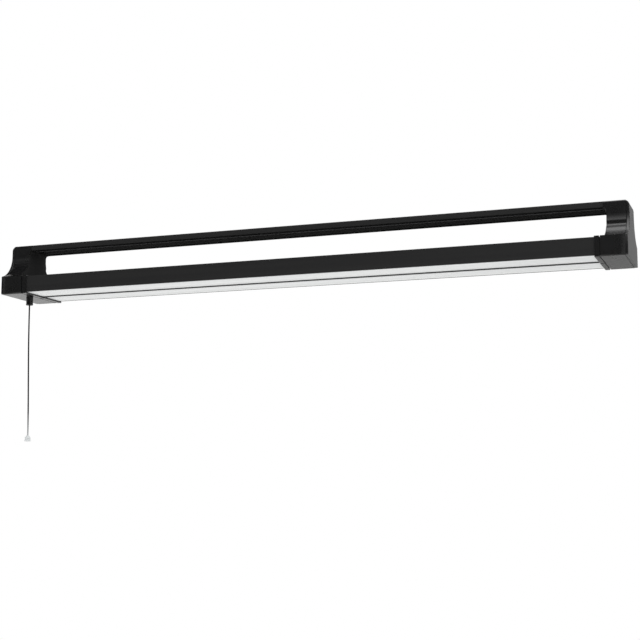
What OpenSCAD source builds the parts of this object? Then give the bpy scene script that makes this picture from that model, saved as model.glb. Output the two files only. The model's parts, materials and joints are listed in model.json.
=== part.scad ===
// Hanging shop light: a black four-foot lamp with two frosted lenses below,
// a flat rail above held by two moulded end caps, and a pull-cord switch.
// Units are millimetres. X runs along the lamp, Y from front to back, Z up.
// The origin is the middle of the rail's top face, where the lamp hangs.
// The modules place everything by its height over the caps' underside.

/* [Lamp] */
// Length over both end covers
lamp_len = 1219; // [1000:1:1500]
// Depth of the end caps from front to back
cap_w = 135; // [130:1:150]
// Height of the box part of the end caps
box_h = 36.2; // [33:0.1:40]
// Wall of the moulded end caps
cap_wall = 2.5; // [2:0.1:3]
// Air gap between the housing and the rail
handle_gap = 56.9; // [50:0.1:75]

/* [Housing] */
// How far the front of the extruded housing stands back from the caps
housing_inset = 1.75; // [1.5:0.05:3]
// How far the top of the housing stands below the top of the caps' box
housing_drop = 1.4; // [1:0.1:2]
// Height of the housing's lower edge over the caps' underside
housing_lift = 3.1; // [2.8:0.1:3.6]
// Wall of the extruded housing
housing_wall = 1.8; // [1.4:0.1:2]
// Width of the foot of the centre rib
foot_w = 7; // [6:0.1:9]
// How far the centre rib stands below the lenses
foot_proud = 1.2; // [0.6:0.1:2]
// How far the lens lips reach inwards from the walls
lip = 2.2; // [1.8:0.1:3]
// Thickness of a lip or ledge
lip_t = 1.3; // [1:0.1:1.5]

/* [Rail] */
// Depth of the top rail
rail_w = 63.4; // [62:0.1:66]
// Height of the top rail
rail_h = 11; // [10.6:0.1:13]
// Wall of the rail
rail_wall = 1.6; // [1.3:0.1:1.8]
// Half distance from the rail's middle to the inner edge of a hook groove
groove_in = 14; // [12:0.5:15]
// Half distance from the rail's middle to the outer edge of a hook groove
groove_out = 28; // [27:0.5:29]
// Depth of the hook grooves
groove_depth = 1.6; // [1:0.1:1.8]
// Diameter of the two hanging holes
hang_hole_d = 6.5; // [5:0.1:10]
// Distance between the two hanging holes
hang_pitch = 900; // [600:1:960]

/* [End caps] */
// Thickness of an end cover
cover_t = 5.5; // [5:0.1:7]
// Length of a cap with its cover, from the parting groove outwards
cap_len = 46.2; // [46:0.1:50]
// Length of a column with its cover
column_len = 39.1; // [36:0.1:41]
// Length of the block that holds the rail, with its cover
block_len = 44.5; // [44:0.1:45.5]
// Height at which the flare of the end covers meets the straight neck
flare_top = 82; // [76:0.5:85]
// Depth of the finger groove across the front and back of a column
finger_groove = 3; // [1:0.1:3.2]
// Height of the middle of the finger groove
finger_z = 60.5; // [57:0.5:63]
// Half height of the finger groove
finger_span = 8; // [6:0.5:9]
// Radius of the rounded corners along the top block
block_r = 2.5; // [2:0.5:4]
// Radius of the corner between the top block and the end of the lamp
crown_r = 9; // [6:0.5:10]
// Radius of the lower corners along the box part
box_r = 3; // [1.5:0.5:4]
// Width of the parting groove between cap and collar
parting_w = 2; // [1.5:0.1:2.5]
// Depth of the parting groove
parting_depth = 2.2; // [1.5:0.1:2.5]
// Length of a collar
collar_len = 8; // [6:0.5:10]

/* [Lenses and boards] */
// Thickness of the lenses
lens_t = 1.8; // [1.4:0.1:2]
// Sheet thickness of the gear trays
tray_t = 1.2; // [0.8:0.1:1.5]
// Height of the gear trays over the caps' underside
tray_z = 15.1; // [15:0.1:16]
// Width of a light board
board_w = 22; // [18:0.5:26]
// Thickness of a light board
board_t = 1; // [0.8:0.1:1.6]
// Distance from the end of a light board to the end of the housing
board_margin = 14.8; // [8:0.1:25]
// Distance from the end of a light board to its last chip
chip_margin = 20; // [10:1:30]
// Number of light chips on a board
chip_count = 36; // [24:2:36]

/* [Pull switch] */
// Distance of the pull cord from the left end of the lamp
cord_from_end = 35; // [34:0.1:36]
// Distance of the pull cord from the front of the cap
cord_from_front = 49.5; // [49:0.1:51]
// Outer diameter of the bushing under the cap
bushing_d = 14; // [13:0.1:15]
// Length of the bushing under the cap
bushing_len = 16; // [14:0.1:20]
// Diameter of the threaded neck of the switch
neck_d = 10; // [9:0.1:11]
// Travel of the pull cord
cord_travel = 8; // [6:0.1:8]
// Diameter of the pull cord
cord_d = 2.4; // [2:0.1:2.6]
// Diameter of the knob at its rim
knob_d = 12.8; // [12:0.1:15]
// Height of the knob
knob_h = 11.4; // [10:0.1:14]

/* [Fits] */
// Clearance round parts that slide together
slide_gap = 0.15; // [0.1:0.01:0.2]
// Radial clearance of turning parts and screws in their bores
run_gap = 0.05; // [0.03:0.01:0.08]

/* [Hidden] */

$fn = 48;
eps = 0.01;
over = 1;

// Heights over the underside of the caps
housing_h = box_h - housing_lift - housing_drop;
housing_top = housing_lift + housing_h;
rail_z = housing_top + handle_gap;
rail_top = rail_z + rail_h;
block_top = rail_top + 0.3;

// Places along the lamp, on its right half
x_end = lamp_len / 2;
x_seat = x_end - cover_t;
x_cap = x_end - cap_len;
x_collar_out = x_cap - parting_w;
x_collar_in = x_collar_out - collar_len;
flange_t = parting_w + 1.5;
x_housing = x_cap - flange_t;
x_column = x_end - column_len;
x_block = x_end - block_len;
bulkhead_t = 3;

// Inside of the housing
housing_w = cap_w - 2 * housing_inset;
half_w = housing_w / 2;
web_t = housing_wall;
bay_in = web_t / 2;
bay_out = half_w - housing_wall;
bay_mid = (bay_in + bay_out) / 2;
lens_slot = lens_t + 0.3;
ledge = 1.6;
tray_top = tray_z + tray_t;
lining_top = housing_top - housing_wall;

// Screws
screw_r = 1.5;
screw_hole_r = screw_r + 0.2;
head_r = 2.8;
head_h = 2.2;
rail_head_r = 2.2;
port_r = 3.4;
port_top_y = bay_out - 2 * port_r;
port_top_z = lining_top - port_r + 0.2;
port_low_y = bay_out - port_r + 0.2;
port_low_z = tray_z - lip_t - port_r;
cap_ports = [
    [port_top_y, port_top_z], [-port_top_y, port_top_z],
    [port_low_y, port_low_z], [-port_low_y, port_low_z]
];
rail_port_r = (rail_h - 2 * rail_wall - groove_depth) / 2 + 0.1;
rail_port_y = (groove_in + groove_out) / 2;
rail_port_z = rail_top - rail_wall - rail_port_r + 0.1;

// Window for the wires in the bulkheads and collars
window_y = port_top_y - port_r - 0.7;
window_z0 = tray_top + 1.2;
window_z1 = lining_top - 2;

// Light boards
board_len = 2 * (x_housing - board_margin);
chip_pitch = (board_len - 2 * chip_margin) / (chip_count - 1);
board_screws_x = [for (i = [-1, -0.53, 0, 0.53, 1]) chip_pitch * round(i * (chip_count / 2 - 1))];
chip_size = [3.5, 2.8, 0.8];

// Light driver, on the front tray
driver_from_end = 214.5;
driver_x = -x_end + driver_from_end;
driver_y = -bay_mid;
driver_size = [150, 30, lining_top - tray_top - 1.6];
driver_wall = 1.2;
driver_lid_t = 0.9;
driver_board_z = tray_top + 3.2;
driver_board_t = 1.6;
driver_lug = 9;

// Mains side, at the left end
inlet_from_front = 24;
inlet_y = -cap_w / 2 + inlet_from_front;
inlet_z = 18.5;
inlet_size = [20, 27, 19];
inlet_wall = 2;
pole_pitch = 7;
poles_y = [for (i = [-1:1]) inlet_y + i * pole_pitch];
pin_tail_x = -x_end + inlet_size[0] + 3.5;
terminal_from_end = 20;
terminal_x = -x_housing + terminal_from_end;
terminal_size = [18, 28, 9];
terminal_y = inlet_y + pole_pitch / 2;
terminal_z = tray_top + 4.6;
wire_r = 1;
wire_hole_r = wire_r + 0.6;
terminal_hole_r = wire_r + 0.4;
wire_end_gap = 0.15;
earth_x = terminal_x + 32;

// Pull switch: heights over the caps' underside, places from the cord
cord_x = -x_end + cord_from_end;
cord_y = -cap_w / 2 + cord_from_front;
cord_r = cord_d / 2;
case_u0 = -18.5;
case_u1 = 6.3;
case_v = 11;
case_wall = 1.5;
case_top = 25.5;
pivot_u = -12;
pivot_z = 18;
pivot_r = 1.5;
arm_reach = 16;
arm_half_w = 3.6;
arm_t = 2;
arm_slot = cord_d + 0.6;
bead_r = 2.5;
bead_z = pivot_z + bead_r + 0.3;
drum_v0 = 4.4;
drum_v1 = 8.8;
drum_r = 4.1;
band_r = 4.6;
mouth_z = -bushing_len;

// Route of the free pull cord: drift towards the lamp's middle and height
// under the bushing's mouth
cord_route = [[0, 0], [0, 12], [0.2, 40], [0.8, 80], [1.8, 120], [3, 160], [4.2, 200], [5, 235], [5.2, 250], [5.2, 260]];
cord_sides = 8;

// ---------------------------------------------------------------- helpers

module hang() {
    translate([0, 0, -rail_top]) children();
}

// A flat outline in Y and Z, drawn out along X from x0 to x1
module along_x(x0, x1) {
    translate([x0, 0, 0]) rotate([90, 0, 90]) linear_extrude(height = x1 - x0) children();
}

// A flat outline in X and Z, drawn out along Y from y0 to y1
module along_y(y0, y1) {
    translate([0, y1, 0]) rotate([90, 0, 0]) linear_extrude(height = y1 - y0) children();
}

module both_ends() {
    children();
    mirror([1, 0, 0]) children();
}

// The range of width w round the middle c
function span(c, w) = [c - w / 2, c + w / 2];

module block(x, y, z) {
    translate([x[0], y[0], z[0]]) cube([x[1] - x[0], y[1] - y[0], z[1] - z[0]]);
}

module rod_x(x0, x1, y, z, r) {
    translate([x0, y, z]) rotate([0, 90, 0]) cylinder(r = r, h = x1 - x0);
}

module rod_y(x, y0, y1, z, r) {
    translate([x, y1, z]) rotate([90, 0, 0]) cylinder(r = r, h = y1 - y0);
}

function arc(c, r, a0, a1, steps) =
    [for (i = [0:steps]) let (a = a0 + (a1 - a0) * i / steps) [c[0] + r * cos(a), c[1] + r * sin(a)]];

function mirrored(points) =
    [for (i = [len(points) - 1:-1:0]) [-points[i][0], points[i][1]]];

// Smooth route through hand-chosen points, in even steps between them
function spline_at(p, i, t) =
    let (
        a = p[max(i - 1, 0)],
        b = p[i],
        c = p[i + 1],
        d = p[min(i + 2, len(p) - 1)]
    )
    0.5 * (2 * b + (c - a) * t + (2 * a - 5 * b + 4 * c - d) * t * t + (3 * b - a - 3 * c + d) * t * t * t);

function smooth_route(p, steps) =
    concat([for (i = [0:len(p) - 2]) for (k = [0:steps - 1]) spline_at(p, i, k / steps)], [p[len(p) - 1]]);

function unit(v) = v / norm(v);

function along(p, i) = unit(p[min(i + 1, len(p) - 1)] - p[max(i - 1, 0)]);

// Tube of the given radius along a list of points
module tube(points, r, sides) {
    last = len(points) - 1;
    first_dir = along(points, 0);
    guide = abs(first_dir[2]) > 0.9 ? [0, 1, 0] : [0, 0, 1];
    rings = [
        for (i = [0:last])
            let (
                t = along(points, i),
                s = unit(cross(t, guide)),
                n = cross(s, t)
            )
            for (k = [0:sides - 1])
                let (a = 360 * (k + 0.5) / sides)
                points[i] + r * (cos(a) * s + sin(a) * n)
    ];
    skin = [
        for (i = [0:last - 1])
            for (k = [0:sides - 1])
                let (
                    a = i * sides + k,
                    b = i * sides + (k + 1) % sides
                )
                for (face = [[a, b, b + sides], [a, b + sides, a + sides]]) face
    ];
    ends = [
        [for (k = [sides - 1:-1:0]) k],
        [for (k = [0:sides - 1]) last * sides + k]
    ];
    polyhedron(points = rings, faces = concat(skin, ends), convexity = 6);
}

module wire(points) {
    tube(smooth_route(points, 3), wire_r, 6);
}

// ---------------------------------------------------------------- outlines

// Outline of an end in Y and Z, drawn in by `side` at the box, by `top` at
// the neck and by `roof` at the top: rounded box, concave flare, straight
// neck, rounded block. `dip` presses the finger groove into the neck.
function flare_r(side, top) =
    let (dx = cap_w / 2 - side - (rail_w / 2 - top), dz = flare_top - (box_h - 0.4 * side))
    (dx * dx + dz * dz) / (2 * dx);

function neck_at(z, top, r) =
    z >= flare_top ? rail_w / 2 - top : rail_w / 2 - top + r - sqrt(max(r * r - pow(flare_top - z, 2), 0));

function dip_at(z, dip) =
    abs(z - finger_z) > finger_span ? 0 : dip * pow(cos(90 * (z - finger_z) / finger_span), 2);

// Points that round the lower corner of the box, on each side
box_points = 5;

function end_half(side, top, roof, dip) =
    let (
        w = cap_w / 2 - side,
        z0 = box_h - 0.4 * side,
        r = flare_r(side, top),
        neck = rail_w / 2 - top,
        cr = max(block_r - top, 2),
        br = max(box_r - side, 2),
        z1 = min(flare_top + 6, block_top - roof - cr - 0.5),
        steps = dip > 0 ? 40 : 16
    )
    concat(
        arc([w - br, side + br], br, -90, 0, box_points - 1),
        [for (i = [0:steps])
            let (
                t = i / steps,
                z = z0 + (z1 - z0) * (0.35 * t * t + 0.65 * t)
            )
            [neck_at(z, top, r) - dip_at(z, dip), z]],
        arc([neck - cr, block_top - roof - cr], cr, 0, 90, 6)
    );

function end_outline(side, top, roof, dip) =
    let (half = end_half(side, top, roof, dip))
    concat(half, mirrored(half));

// Points on the crown, the large round between the top block and the end,
// from angle a0 to a1: places along X and how far the top drops there
function crown_x(a) = x_end - crown_r + crown_r * sin(a);

function crown_drop(a) = crown_r * (1 - cos(a));

function crown_turn(x) = asin((x - x_end + crown_r) / crown_r);

// Side view of a cap in X and Z: box, column, then block with a soft
// corner under it; `t` draws it in by the wall
function cap_side(t, x1) =
    let (
        under = rail_z + t,
        soft = x_column - x_block
    )
    concat(
        [[x_cap + (t > 0 ? bulkhead_t : 0), t], [x1, t]],
        t > 0 ? [[x1, block_top - t]]
            : [for (i = [4:-1:0]) let (a = crown_turn(x_seat) * i / 4) [i == 4 ? x1 : crown_x(a), block_top - crown_drop(a)]],
        [[x_block + t, block_top - t], [x_block + t, under]],
        arc([x_block + t, under - soft], soft, 90, 0, 6),
        [[x_column + t, box_h - t], [x_cap + (t > 0 ? bulkhead_t : 0), box_h - t]]
    );

// ---------------------------------------------------------------- housing and lenses

module housing_outline() {
    difference() {
        union() {
            translate([-half_w, lining_top]) square([housing_w, housing_wall]);
            translate([-bay_in, housing_lift]) square([web_t, housing_h]);
            for (s = [-1, 1]) {
                housing_side(s);
                housing_web(s);
            }
            for (p = cap_ports) translate(p) circle(r = port_r);
        }
        for (p = cap_ports) translate(p) circle(r = screw_r + run_gap);
    }
}

// Side wall with the lens groove and the two tray ledges
module housing_side(s) {
    mirror([s < 0 ? 1 : 0, 0]) {
        translate([bay_out, housing_lift]) square([housing_wall, housing_h]);
        translate([bay_out - lip, housing_lift]) square([lip + eps, lip_t]);
        translate([bay_out - lip, housing_lift + lip_t + lens_slot]) square([lip + eps, lip_t]);
        translate([bay_out - ledge, tray_z - lip_t]) square([ledge + eps, lip_t]);
        translate([bay_out - ledge, tray_top + 0.2]) square([ledge + eps, lip_t]);
    }
}

// Centre web with its foot, lens groove and tray ledges
module housing_web(s) {
    mirror([s < 0 ? 1 : 0, 0]) {
        translate([0, housing_lift - foot_proud]) square([foot_w / 2, foot_proud + lip_t]);
        translate([0, housing_lift + lip_t + lens_slot]) square([foot_w / 2, lip_t]);
        translate([0, tray_z - lip_t]) square([bay_in + ledge, lip_t]);
        translate([0, tray_top + 0.2]) square([bay_in + ledge, lip_t]);
    }
}

web_pass_x = driver_x + driver_size[0] / 2 + 30;
web_pass_z = tray_top + 7;
web_pass_r = 4;

module housing() {
    color("#202124") hang() difference() {
        along_x(-x_housing, x_housing) housing_outline();
        rod_y(web_pass_x, -bay_in - over, bay_in + over, web_pass_z, web_pass_r);
    }
}

// One lens: a shallow tray whose two edges sit in the lens grooves
module lens(s) {
    edge_in = bay_in + 0.4;
    edge_out = bay_out - 0.4;
    belly_in = foot_w / 2 + 0.3;
    belly_out = bay_out - lip - 0.3;
    seat_z = housing_lift + lip_t + 0.1;
    color("#eef1f4") hang() along_x(-x_housing + 0.3, x_housing - 0.3) mirror([s < 0 ? 1 : 0, 0]) polygon([
        [edge_in, seat_z], [belly_in, seat_z], [belly_in, housing_lift],
        [belly_out, housing_lift], [belly_out, seat_z], [edge_out, seat_z],
        [edge_out, seat_z + lens_t], [belly_out - lens_t, seat_z + lens_t],
        [belly_out - lens_t, housing_lift + lens_t], [belly_in + lens_t, housing_lift + lens_t],
        [belly_in + lens_t, seat_z + lens_t], [edge_in, seat_z + lens_t]
    ]);
}

module front_lens() {
    lens(-1);
}

module rear_lens() {
    lens(1);
}

// ---------------------------------------------------------------- trays and boards

module tray(s) {
    color("#e4e4e0") hang() difference() {
        block(
            [-x_housing + 0.3, x_housing - 0.3],
            s < 0 ? [-bay_out + 0.25, -bay_in - 0.25] : [bay_in + 0.25, bay_out - 0.25],
            [tray_z, tray_top]
        );
        for (x = board_screws_x)
            translate([x, s * bay_mid, tray_z - over]) cylinder(r = screw_r + run_gap, h = tray_t + 2 * over);
        translate([web_pass_x, s * bay_mid, tray_z - over]) cylinder(r = web_pass_r, h = tray_t + 2 * over);
        if (s < 0) tray_screw_holes();
    }
}

module tray_screw_holes() {
    for (p = concat(driver_screw_places(), [[earth_x, inlet_y]]))
        translate([p[0], p[1], tray_z - over]) cylinder(r = screw_r + run_gap, h = tray_t + 2 * over);
}

module front_tray() {
    tray(-1);
}

module rear_tray() {
    tray(1);
}

module light_board(s) {
    color("#d9dbd6") hang() difference() {
        block([-board_len / 2, board_len / 2], span(s * bay_mid, board_w), [tray_z - board_t, tray_z]);
        for (x = board_screws_x)
            translate([x, s * bay_mid, tray_z - board_t - over]) cylinder(r = screw_hole_r, h = board_t + 2 * over);
    }
}

module front_light_board() {
    light_board(-1);
}

module rear_light_board() {
    light_board(1);
}

module light_chips(s) {
    color("#e9d44a") hang() for (i = [0:chip_count - 1])
        translate([(i - (chip_count - 1) / 2) * chip_pitch, s * bay_mid, tray_z - board_t - chip_size[2] / 2])
            cube(chip_size, center = true);
}

module front_light_chips() {
    light_chips(-1);
}

module rear_light_chips() {
    light_chips(1);
}

// Pan head screw at the origin, head up, shank down
module screw(shank, head) {
    cylinder(r = head, h = head_h);
    translate([0, 0, -shank]) cylinder(r = screw_r, h = shank + eps);
}

module board_screws() {
    color("#b8babd") hang() for (s = [-1, 1]) for (x = board_screws_x)
        translate([x, s * bay_mid, tray_z - board_t]) rotate([180, 0, 0]) screw(board_t + tray_t + 1.5, head_r);
}

// ---------------------------------------------------------------- driver

function driver_screw_places() =
    [for (s = [-1, 1]) [driver_x + s * (driver_size[0] + driver_lug) / 2, driver_y]];

module driver_case() {
    half = driver_size / 2;
    color("#c9cbce") hang() difference() {
        union() {
            difference() {
                block(span(driver_x, driver_size[0]), span(driver_y, driver_size[1]), [tray_top, tray_top + driver_size[2]]);
                block(
                    span(driver_x, driver_size[0] - 2 * driver_wall),
                    span(driver_y, driver_size[1] - 2 * driver_wall),
                    [tray_top + driver_wall, tray_top + driver_size[2] + over]
                );
            }
            for (x = [-1, 1]) for (y = [-1, 1])
                translate([driver_x + x * (half[0] - 6), driver_y + y * (half[1] - 5), tray_top + driver_wall - eps])
                    cylinder(r = 2.2, h = driver_board_z - tray_top - driver_wall + eps);
            for (p = driver_screw_places())
                block(span(p[0], driver_lug + 2 * eps), span(p[1], 12), [tray_top, tray_top + driver_wall]);
        }
        for (p = driver_screw_places())
            translate([p[0], p[1], tray_top - over]) cylinder(r = screw_hole_r, h = driver_wall + 2 * over);
        for (y = poles_y) rod_x(driver_x - half[0] - over, driver_x - half[0] + driver_wall + over, driver_wire_y(y), driver_wire_z, wire_hole_r);
        for (y = light_wire_y) rod_x(driver_x + half[0] - driver_wall - over, driver_x + half[0] + over, y, driver_wire_z, wire_hole_r);
    }
}

driver_wire_z = tray_top + 8;

function driver_wire_y(pole) = driver_y + (pole - inlet_y) * 0.9;

light_wire_y = [driver_y - 9.4, driver_y - 5.2, driver_y + 5.2, driver_y + 9.4];

module driver_lid() {
    lid_z = tray_top + driver_size[2];
    rim_x = driver_size[0] - 2 * (driver_wall + slide_gap);
    rim_y = driver_size[1] - 2 * (driver_wall + slide_gap);
    color("#c9cbce") hang() {
        block(span(driver_x, driver_size[0]), span(driver_y, driver_size[1]), [lid_z, lid_z + driver_lid_t]);
        difference() {
            block(span(driver_x, rim_x), span(driver_y, rim_y), [lid_z - 1.2, lid_z + eps]);
            block(span(driver_x, rim_x - 2), span(driver_y, rim_y - 2), [lid_z - 2, lid_z + eps]);
        }
    }
}

module driver_board() {
    color("#2f6b46") hang() block(
        span(driver_x, driver_size[0] - 2 * driver_wall - 1.2),
        span(driver_y, driver_size[1] - 2 * driver_wall - 0.8),
        [driver_board_z, driver_board_z + driver_board_t]
    );
}

// Transformer, choke, two capacitors and a heat sink, on the driver board
module driver_parts() {
    z = driver_board_z + driver_board_t;
    bay = driver_size[0] / 15;
    w = driver_size[1] / 15;
    h = driver_size[2] - (z - tray_top);
    color("#4a4030") hang() {
        block(span(driver_x + 0.4 * bay, 2.4 * bay), span(driver_y, 8 * w), [z, z + 0.72 * h]);
        block(span(driver_x + 0.4 * bay, 3.2 * bay), span(driver_y, 4 * w), [z, z + 0.5 * h]);
        translate([driver_x - 3.6 * bay, driver_y, z]) cylinder(r = 3.5 * w, h = 0.64 * h);
        for (y = [-3 * w, 3 * w]) rod_x(driver_x + 3 * bay, driver_x + 5 * bay, driver_y + y, z + 2 * w, 2 * w);
        block(span(driver_x - 5.8 * bay, 0.8 * bay), span(driver_y, 10 * w), [z, z + 0.4 * h]);
    }
}

module driver_screws() {
    color("#b8babd") hang() for (p = driver_screw_places())
        translate([p[0], p[1], tray_top + driver_wall]) screw(driver_wall + tray_t - 0.1, head_r);
}

// ---------------------------------------------------------------- mains side

module terminal_block() {
    x0 = terminal_x - terminal_size[0] / 2;
    x1 = terminal_x + terminal_size[0] / 2;
    color("#efece2") hang() difference() {
        union() {
            block([x0, x1], span(terminal_y, terminal_size[1]), [tray_top, tray_top + terminal_size[2]]);
            for (i = [-1:2]) translate([terminal_x, inlet_y + i * pole_pitch, tray_top])
                cylinder(r = 2.8, h = terminal_size[2] + 1.2);
        }
        for (i = [-1:2]) {
            rod_x(x0 - over, x0 + 5, inlet_y + i * pole_pitch, terminal_z, terminal_hole_r);
            rod_x(x1 - 5, x1 + over, inlet_y + i * pole_pitch, terminal_z, terminal_hole_r);
            translate([terminal_x, inlet_y + i * pole_pitch, tray_top + 3]) cylinder(r = screw_r + run_gap, h = terminal_size[2]);
        }
    }
}

module terminal_screws() {
    color("#c6a353") hang() for (i = [-1:2])
        translate([terminal_x, inlet_y + i * pole_pitch, tray_top + 3.2]) cylinder(r = screw_r, h = terminal_size[2] - 2.6);
}

module earth_screw() {
    color("#3f8f4c") hang() translate([earth_x, inlet_y, tray_top]) screw(tray_t - 0.1, head_r);
}

// Inlet shell in the left end cover, open to the outside
module power_inlet() {
    x0 = -x_end;
    flange_x = x0 + cap_wall + slide_gap;
    color("#17181a") hang() difference() {
        union() {
            block([x0, x0 + inlet_size[0]], span(inlet_y, inlet_size[1]), span(inlet_z, inlet_size[2]));
            block([flange_x, flange_x + 1.6], span(inlet_y, inlet_size[1] + 3), span(inlet_z, inlet_size[2] + 3));
        }
        block(
            [x0 - over, x0 + inlet_size[0] - 4],
            span(inlet_y, inlet_size[1] - 2 * inlet_wall),
            span(inlet_z, inlet_size[2] - 2 * inlet_wall)
        );
        for (i = [-1:1]) inlet_pin(i, x0 + inlet_size[0] - 5, x0 + inlet_size[0] + over, run_gap);
    }
}

// Blade of one pole; the middle one, for earth, sits higher
function pin_z(i) = inlet_z + (i == 0 ? 3.5 : -1.5);

module inlet_pin(i, x0, x1, gap) {
    block([x0, x1], span(inlet_y + i * pole_pitch, 2 + 2 * gap), span(pin_z(i), 4 + 2 * gap));
}

module inlet_pins() {
    color("#c6a353") hang() for (i = [-1:1]) inlet_pin(i, -x_end + 3, pin_tail_x, 0);
}

// Neutral and earth run to the terminal block, the live wire to the switch,
// and the switched wire from the switch to the terminal block
module mains_wires() {
    x0 = pin_tail_x + wire_end_gap;
    x1 = terminal_x - terminal_size[0] / 2 + 4.5;
    case_x = cord_x - 6;
    case_y = cord_y - case_v;
    color("#7a4b2a") hang() {
        for (i = [-1, 0]) wire([
            [x0, inlet_y + i * pole_pitch, pin_z(i)], [x0 + 4, inlet_y + i * pole_pitch, pin_z(i)],
            [x0 + 14, inlet_y + i * pole_pitch, (pin_z(i) + terminal_z) / 2 + 0.8],
            [x0 + 26, inlet_y + i * pole_pitch, terminal_z], [x1 - 6, inlet_y + i * pole_pitch, terminal_z],
            [x1, inlet_y + i * pole_pitch, terminal_z]
        ]);
        wire([
            [x0, inlet_y + pole_pitch, pin_z(1)], [x0 + 2.2, inlet_y + pole_pitch, pin_z(1)],
            [case_x - 0.5, inlet_y + pole_pitch + 2, pin_z(1)], [case_x, case_y - 2.6, pin_z(1)],
            [case_x, case_y - wire_end_gap, pin_z(1)]
        ]);
        wire([
            [case_x + 7, case_y - wire_end_gap, terminal_z + 1], [case_x + 7, case_y - 2, terminal_z + 1],
            [case_x + 7, case_y - 3.2, terminal_z + 1],
            [case_x + 12, case_y - 6, terminal_z + 1], [case_x + 22, inlet_y + pole_pitch, terminal_z],
            [x1 - 6, inlet_y + pole_pitch, terminal_z], [x1, inlet_y + pole_pitch, terminal_z]
        ]);
    }
}

// From the terminal block to the driver, and the earth wire to its screw
module driver_wires() {
    x0 = terminal_x + terminal_size[0] / 2 - 4.5;
    x1 = driver_x - driver_size[0] / 2 + driver_wall + 2;
    color("#2c55a0") hang() {
        for (i = [-1, 1]) wire([
            [x0, inlet_y + i * pole_pitch, terminal_z], [x0 + 6, inlet_y + i * pole_pitch, terminal_z],
            [x0 + 9, inlet_y + i * pole_pitch, terminal_z],
            [(x0 + x1) / 2, (inlet_y + i * pole_pitch + driver_wire_y(inlet_y + i * pole_pitch)) / 2 + i * 1.5, driver_wire_z + 2],
            [x1 - 8, driver_wire_y(inlet_y + i * pole_pitch), driver_wire_z], [x1, driver_wire_y(inlet_y + i * pole_pitch), driver_wire_z]
        ]);
        wire([
            [x0, inlet_y, terminal_z], [x0 + 6, inlet_y, terminal_z],
            [x0 + 8, inlet_y, terminal_z], [earth_x - head_r - 4, inlet_y, tray_top + wire_r + 0.4],
            [earth_x - head_r - 2, inlet_y, tray_top + wire_r + 0.2],
            [earth_x - head_r - wire_end_gap, inlet_y, tray_top + wire_r + 0.2]
        ]);
    }
}

// Two wires down to the front board, two across the web to the rear board
module light_wires() {
    x0 = driver_x + driver_size[0] / 2 - driver_wall - 2;
    end_z = tray_z + 0.2;
    color("#b03a2e") hang() for (k = [0, 1]) {
        y = light_wire_y[k];
        side = k == 0 ? -1.6 : 1.6;
        wire([
            [x0, y, driver_wire_z], [x0 + 8, y, driver_wire_z],
            [web_pass_x - 8, driver_y + side, driver_wire_z - 1], [web_pass_x - 2, driver_y + side, driver_wire_z - 4],
            [web_pass_x, driver_y + side, tray_top + 1], [web_pass_x, driver_y + side, end_z]
        ]);
        yr = light_wire_y[3 - k];
        wire([
            [x0, yr, driver_wire_z], [x0 + 8, yr, driver_wire_z],
            [web_pass_x - 4, yr + 6 - k * 1, web_pass_z - side * 0.9], [web_pass_x + side, -10, web_pass_z],
            [web_pass_x + side, 0, web_pass_z], [web_pass_x + side, 12, web_pass_z],
            [web_pass_x + side, bay_mid - 4, web_pass_z - 1], [web_pass_x + side, bay_mid, tray_top + 2],
            [web_pass_x + side, bay_mid, end_z]
        ]);
    }
}

// ---------------------------------------------------------------- rail

module rail_outline() {
    y = rail_w / 2;
    corner = 1.5;
    inner_low = rail_z + rail_wall;
    difference() {
        polygon(concat(
            arc([y - corner, rail_z + corner], corner, -90, 0, 4),
            arc([y - corner, rail_top - corner], corner, 0, 90, 4),
            arc([-y + corner, rail_top - corner], corner, 90, 180, 4),
            arc([-y + corner, rail_z + corner], corner, 180, 270, 4)
        ));
        difference() {
            translate([-y + rail_wall, inner_low]) square([rail_w - 2 * rail_wall, rail_h - 2 * rail_wall]);
            for (s = [-1, 1]) {
                translate([s * rail_port_y, rail_port_z]) circle(r = rail_port_r);
                translate([s * rail_port_y - (groove_out - groove_in) / 2 - rail_wall, inner_low - eps])
                    square([groove_out - groove_in + 2 * rail_wall, groove_depth]);
            }
        }
        for (s = [-1, 1]) {
            translate([s * rail_port_y, rail_port_z]) circle(r = screw_r + run_gap);
            translate([s * rail_port_y - (groove_out - groove_in) / 2, rail_z - over])
                square([groove_out - groove_in, groove_depth + over]);
        }
    }
}

module top_rail() {
    color("#202124") hang() difference() {
        along_x(-x_block, x_block) rail_outline();
        for (s = [-1, 1])
            translate([s * hang_pitch / 2, 0, rail_z - over]) cylinder(r = hang_hole_d / 2, h = rail_h + 2 * over);
    }
}

// ---------------------------------------------------------------- end caps

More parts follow.
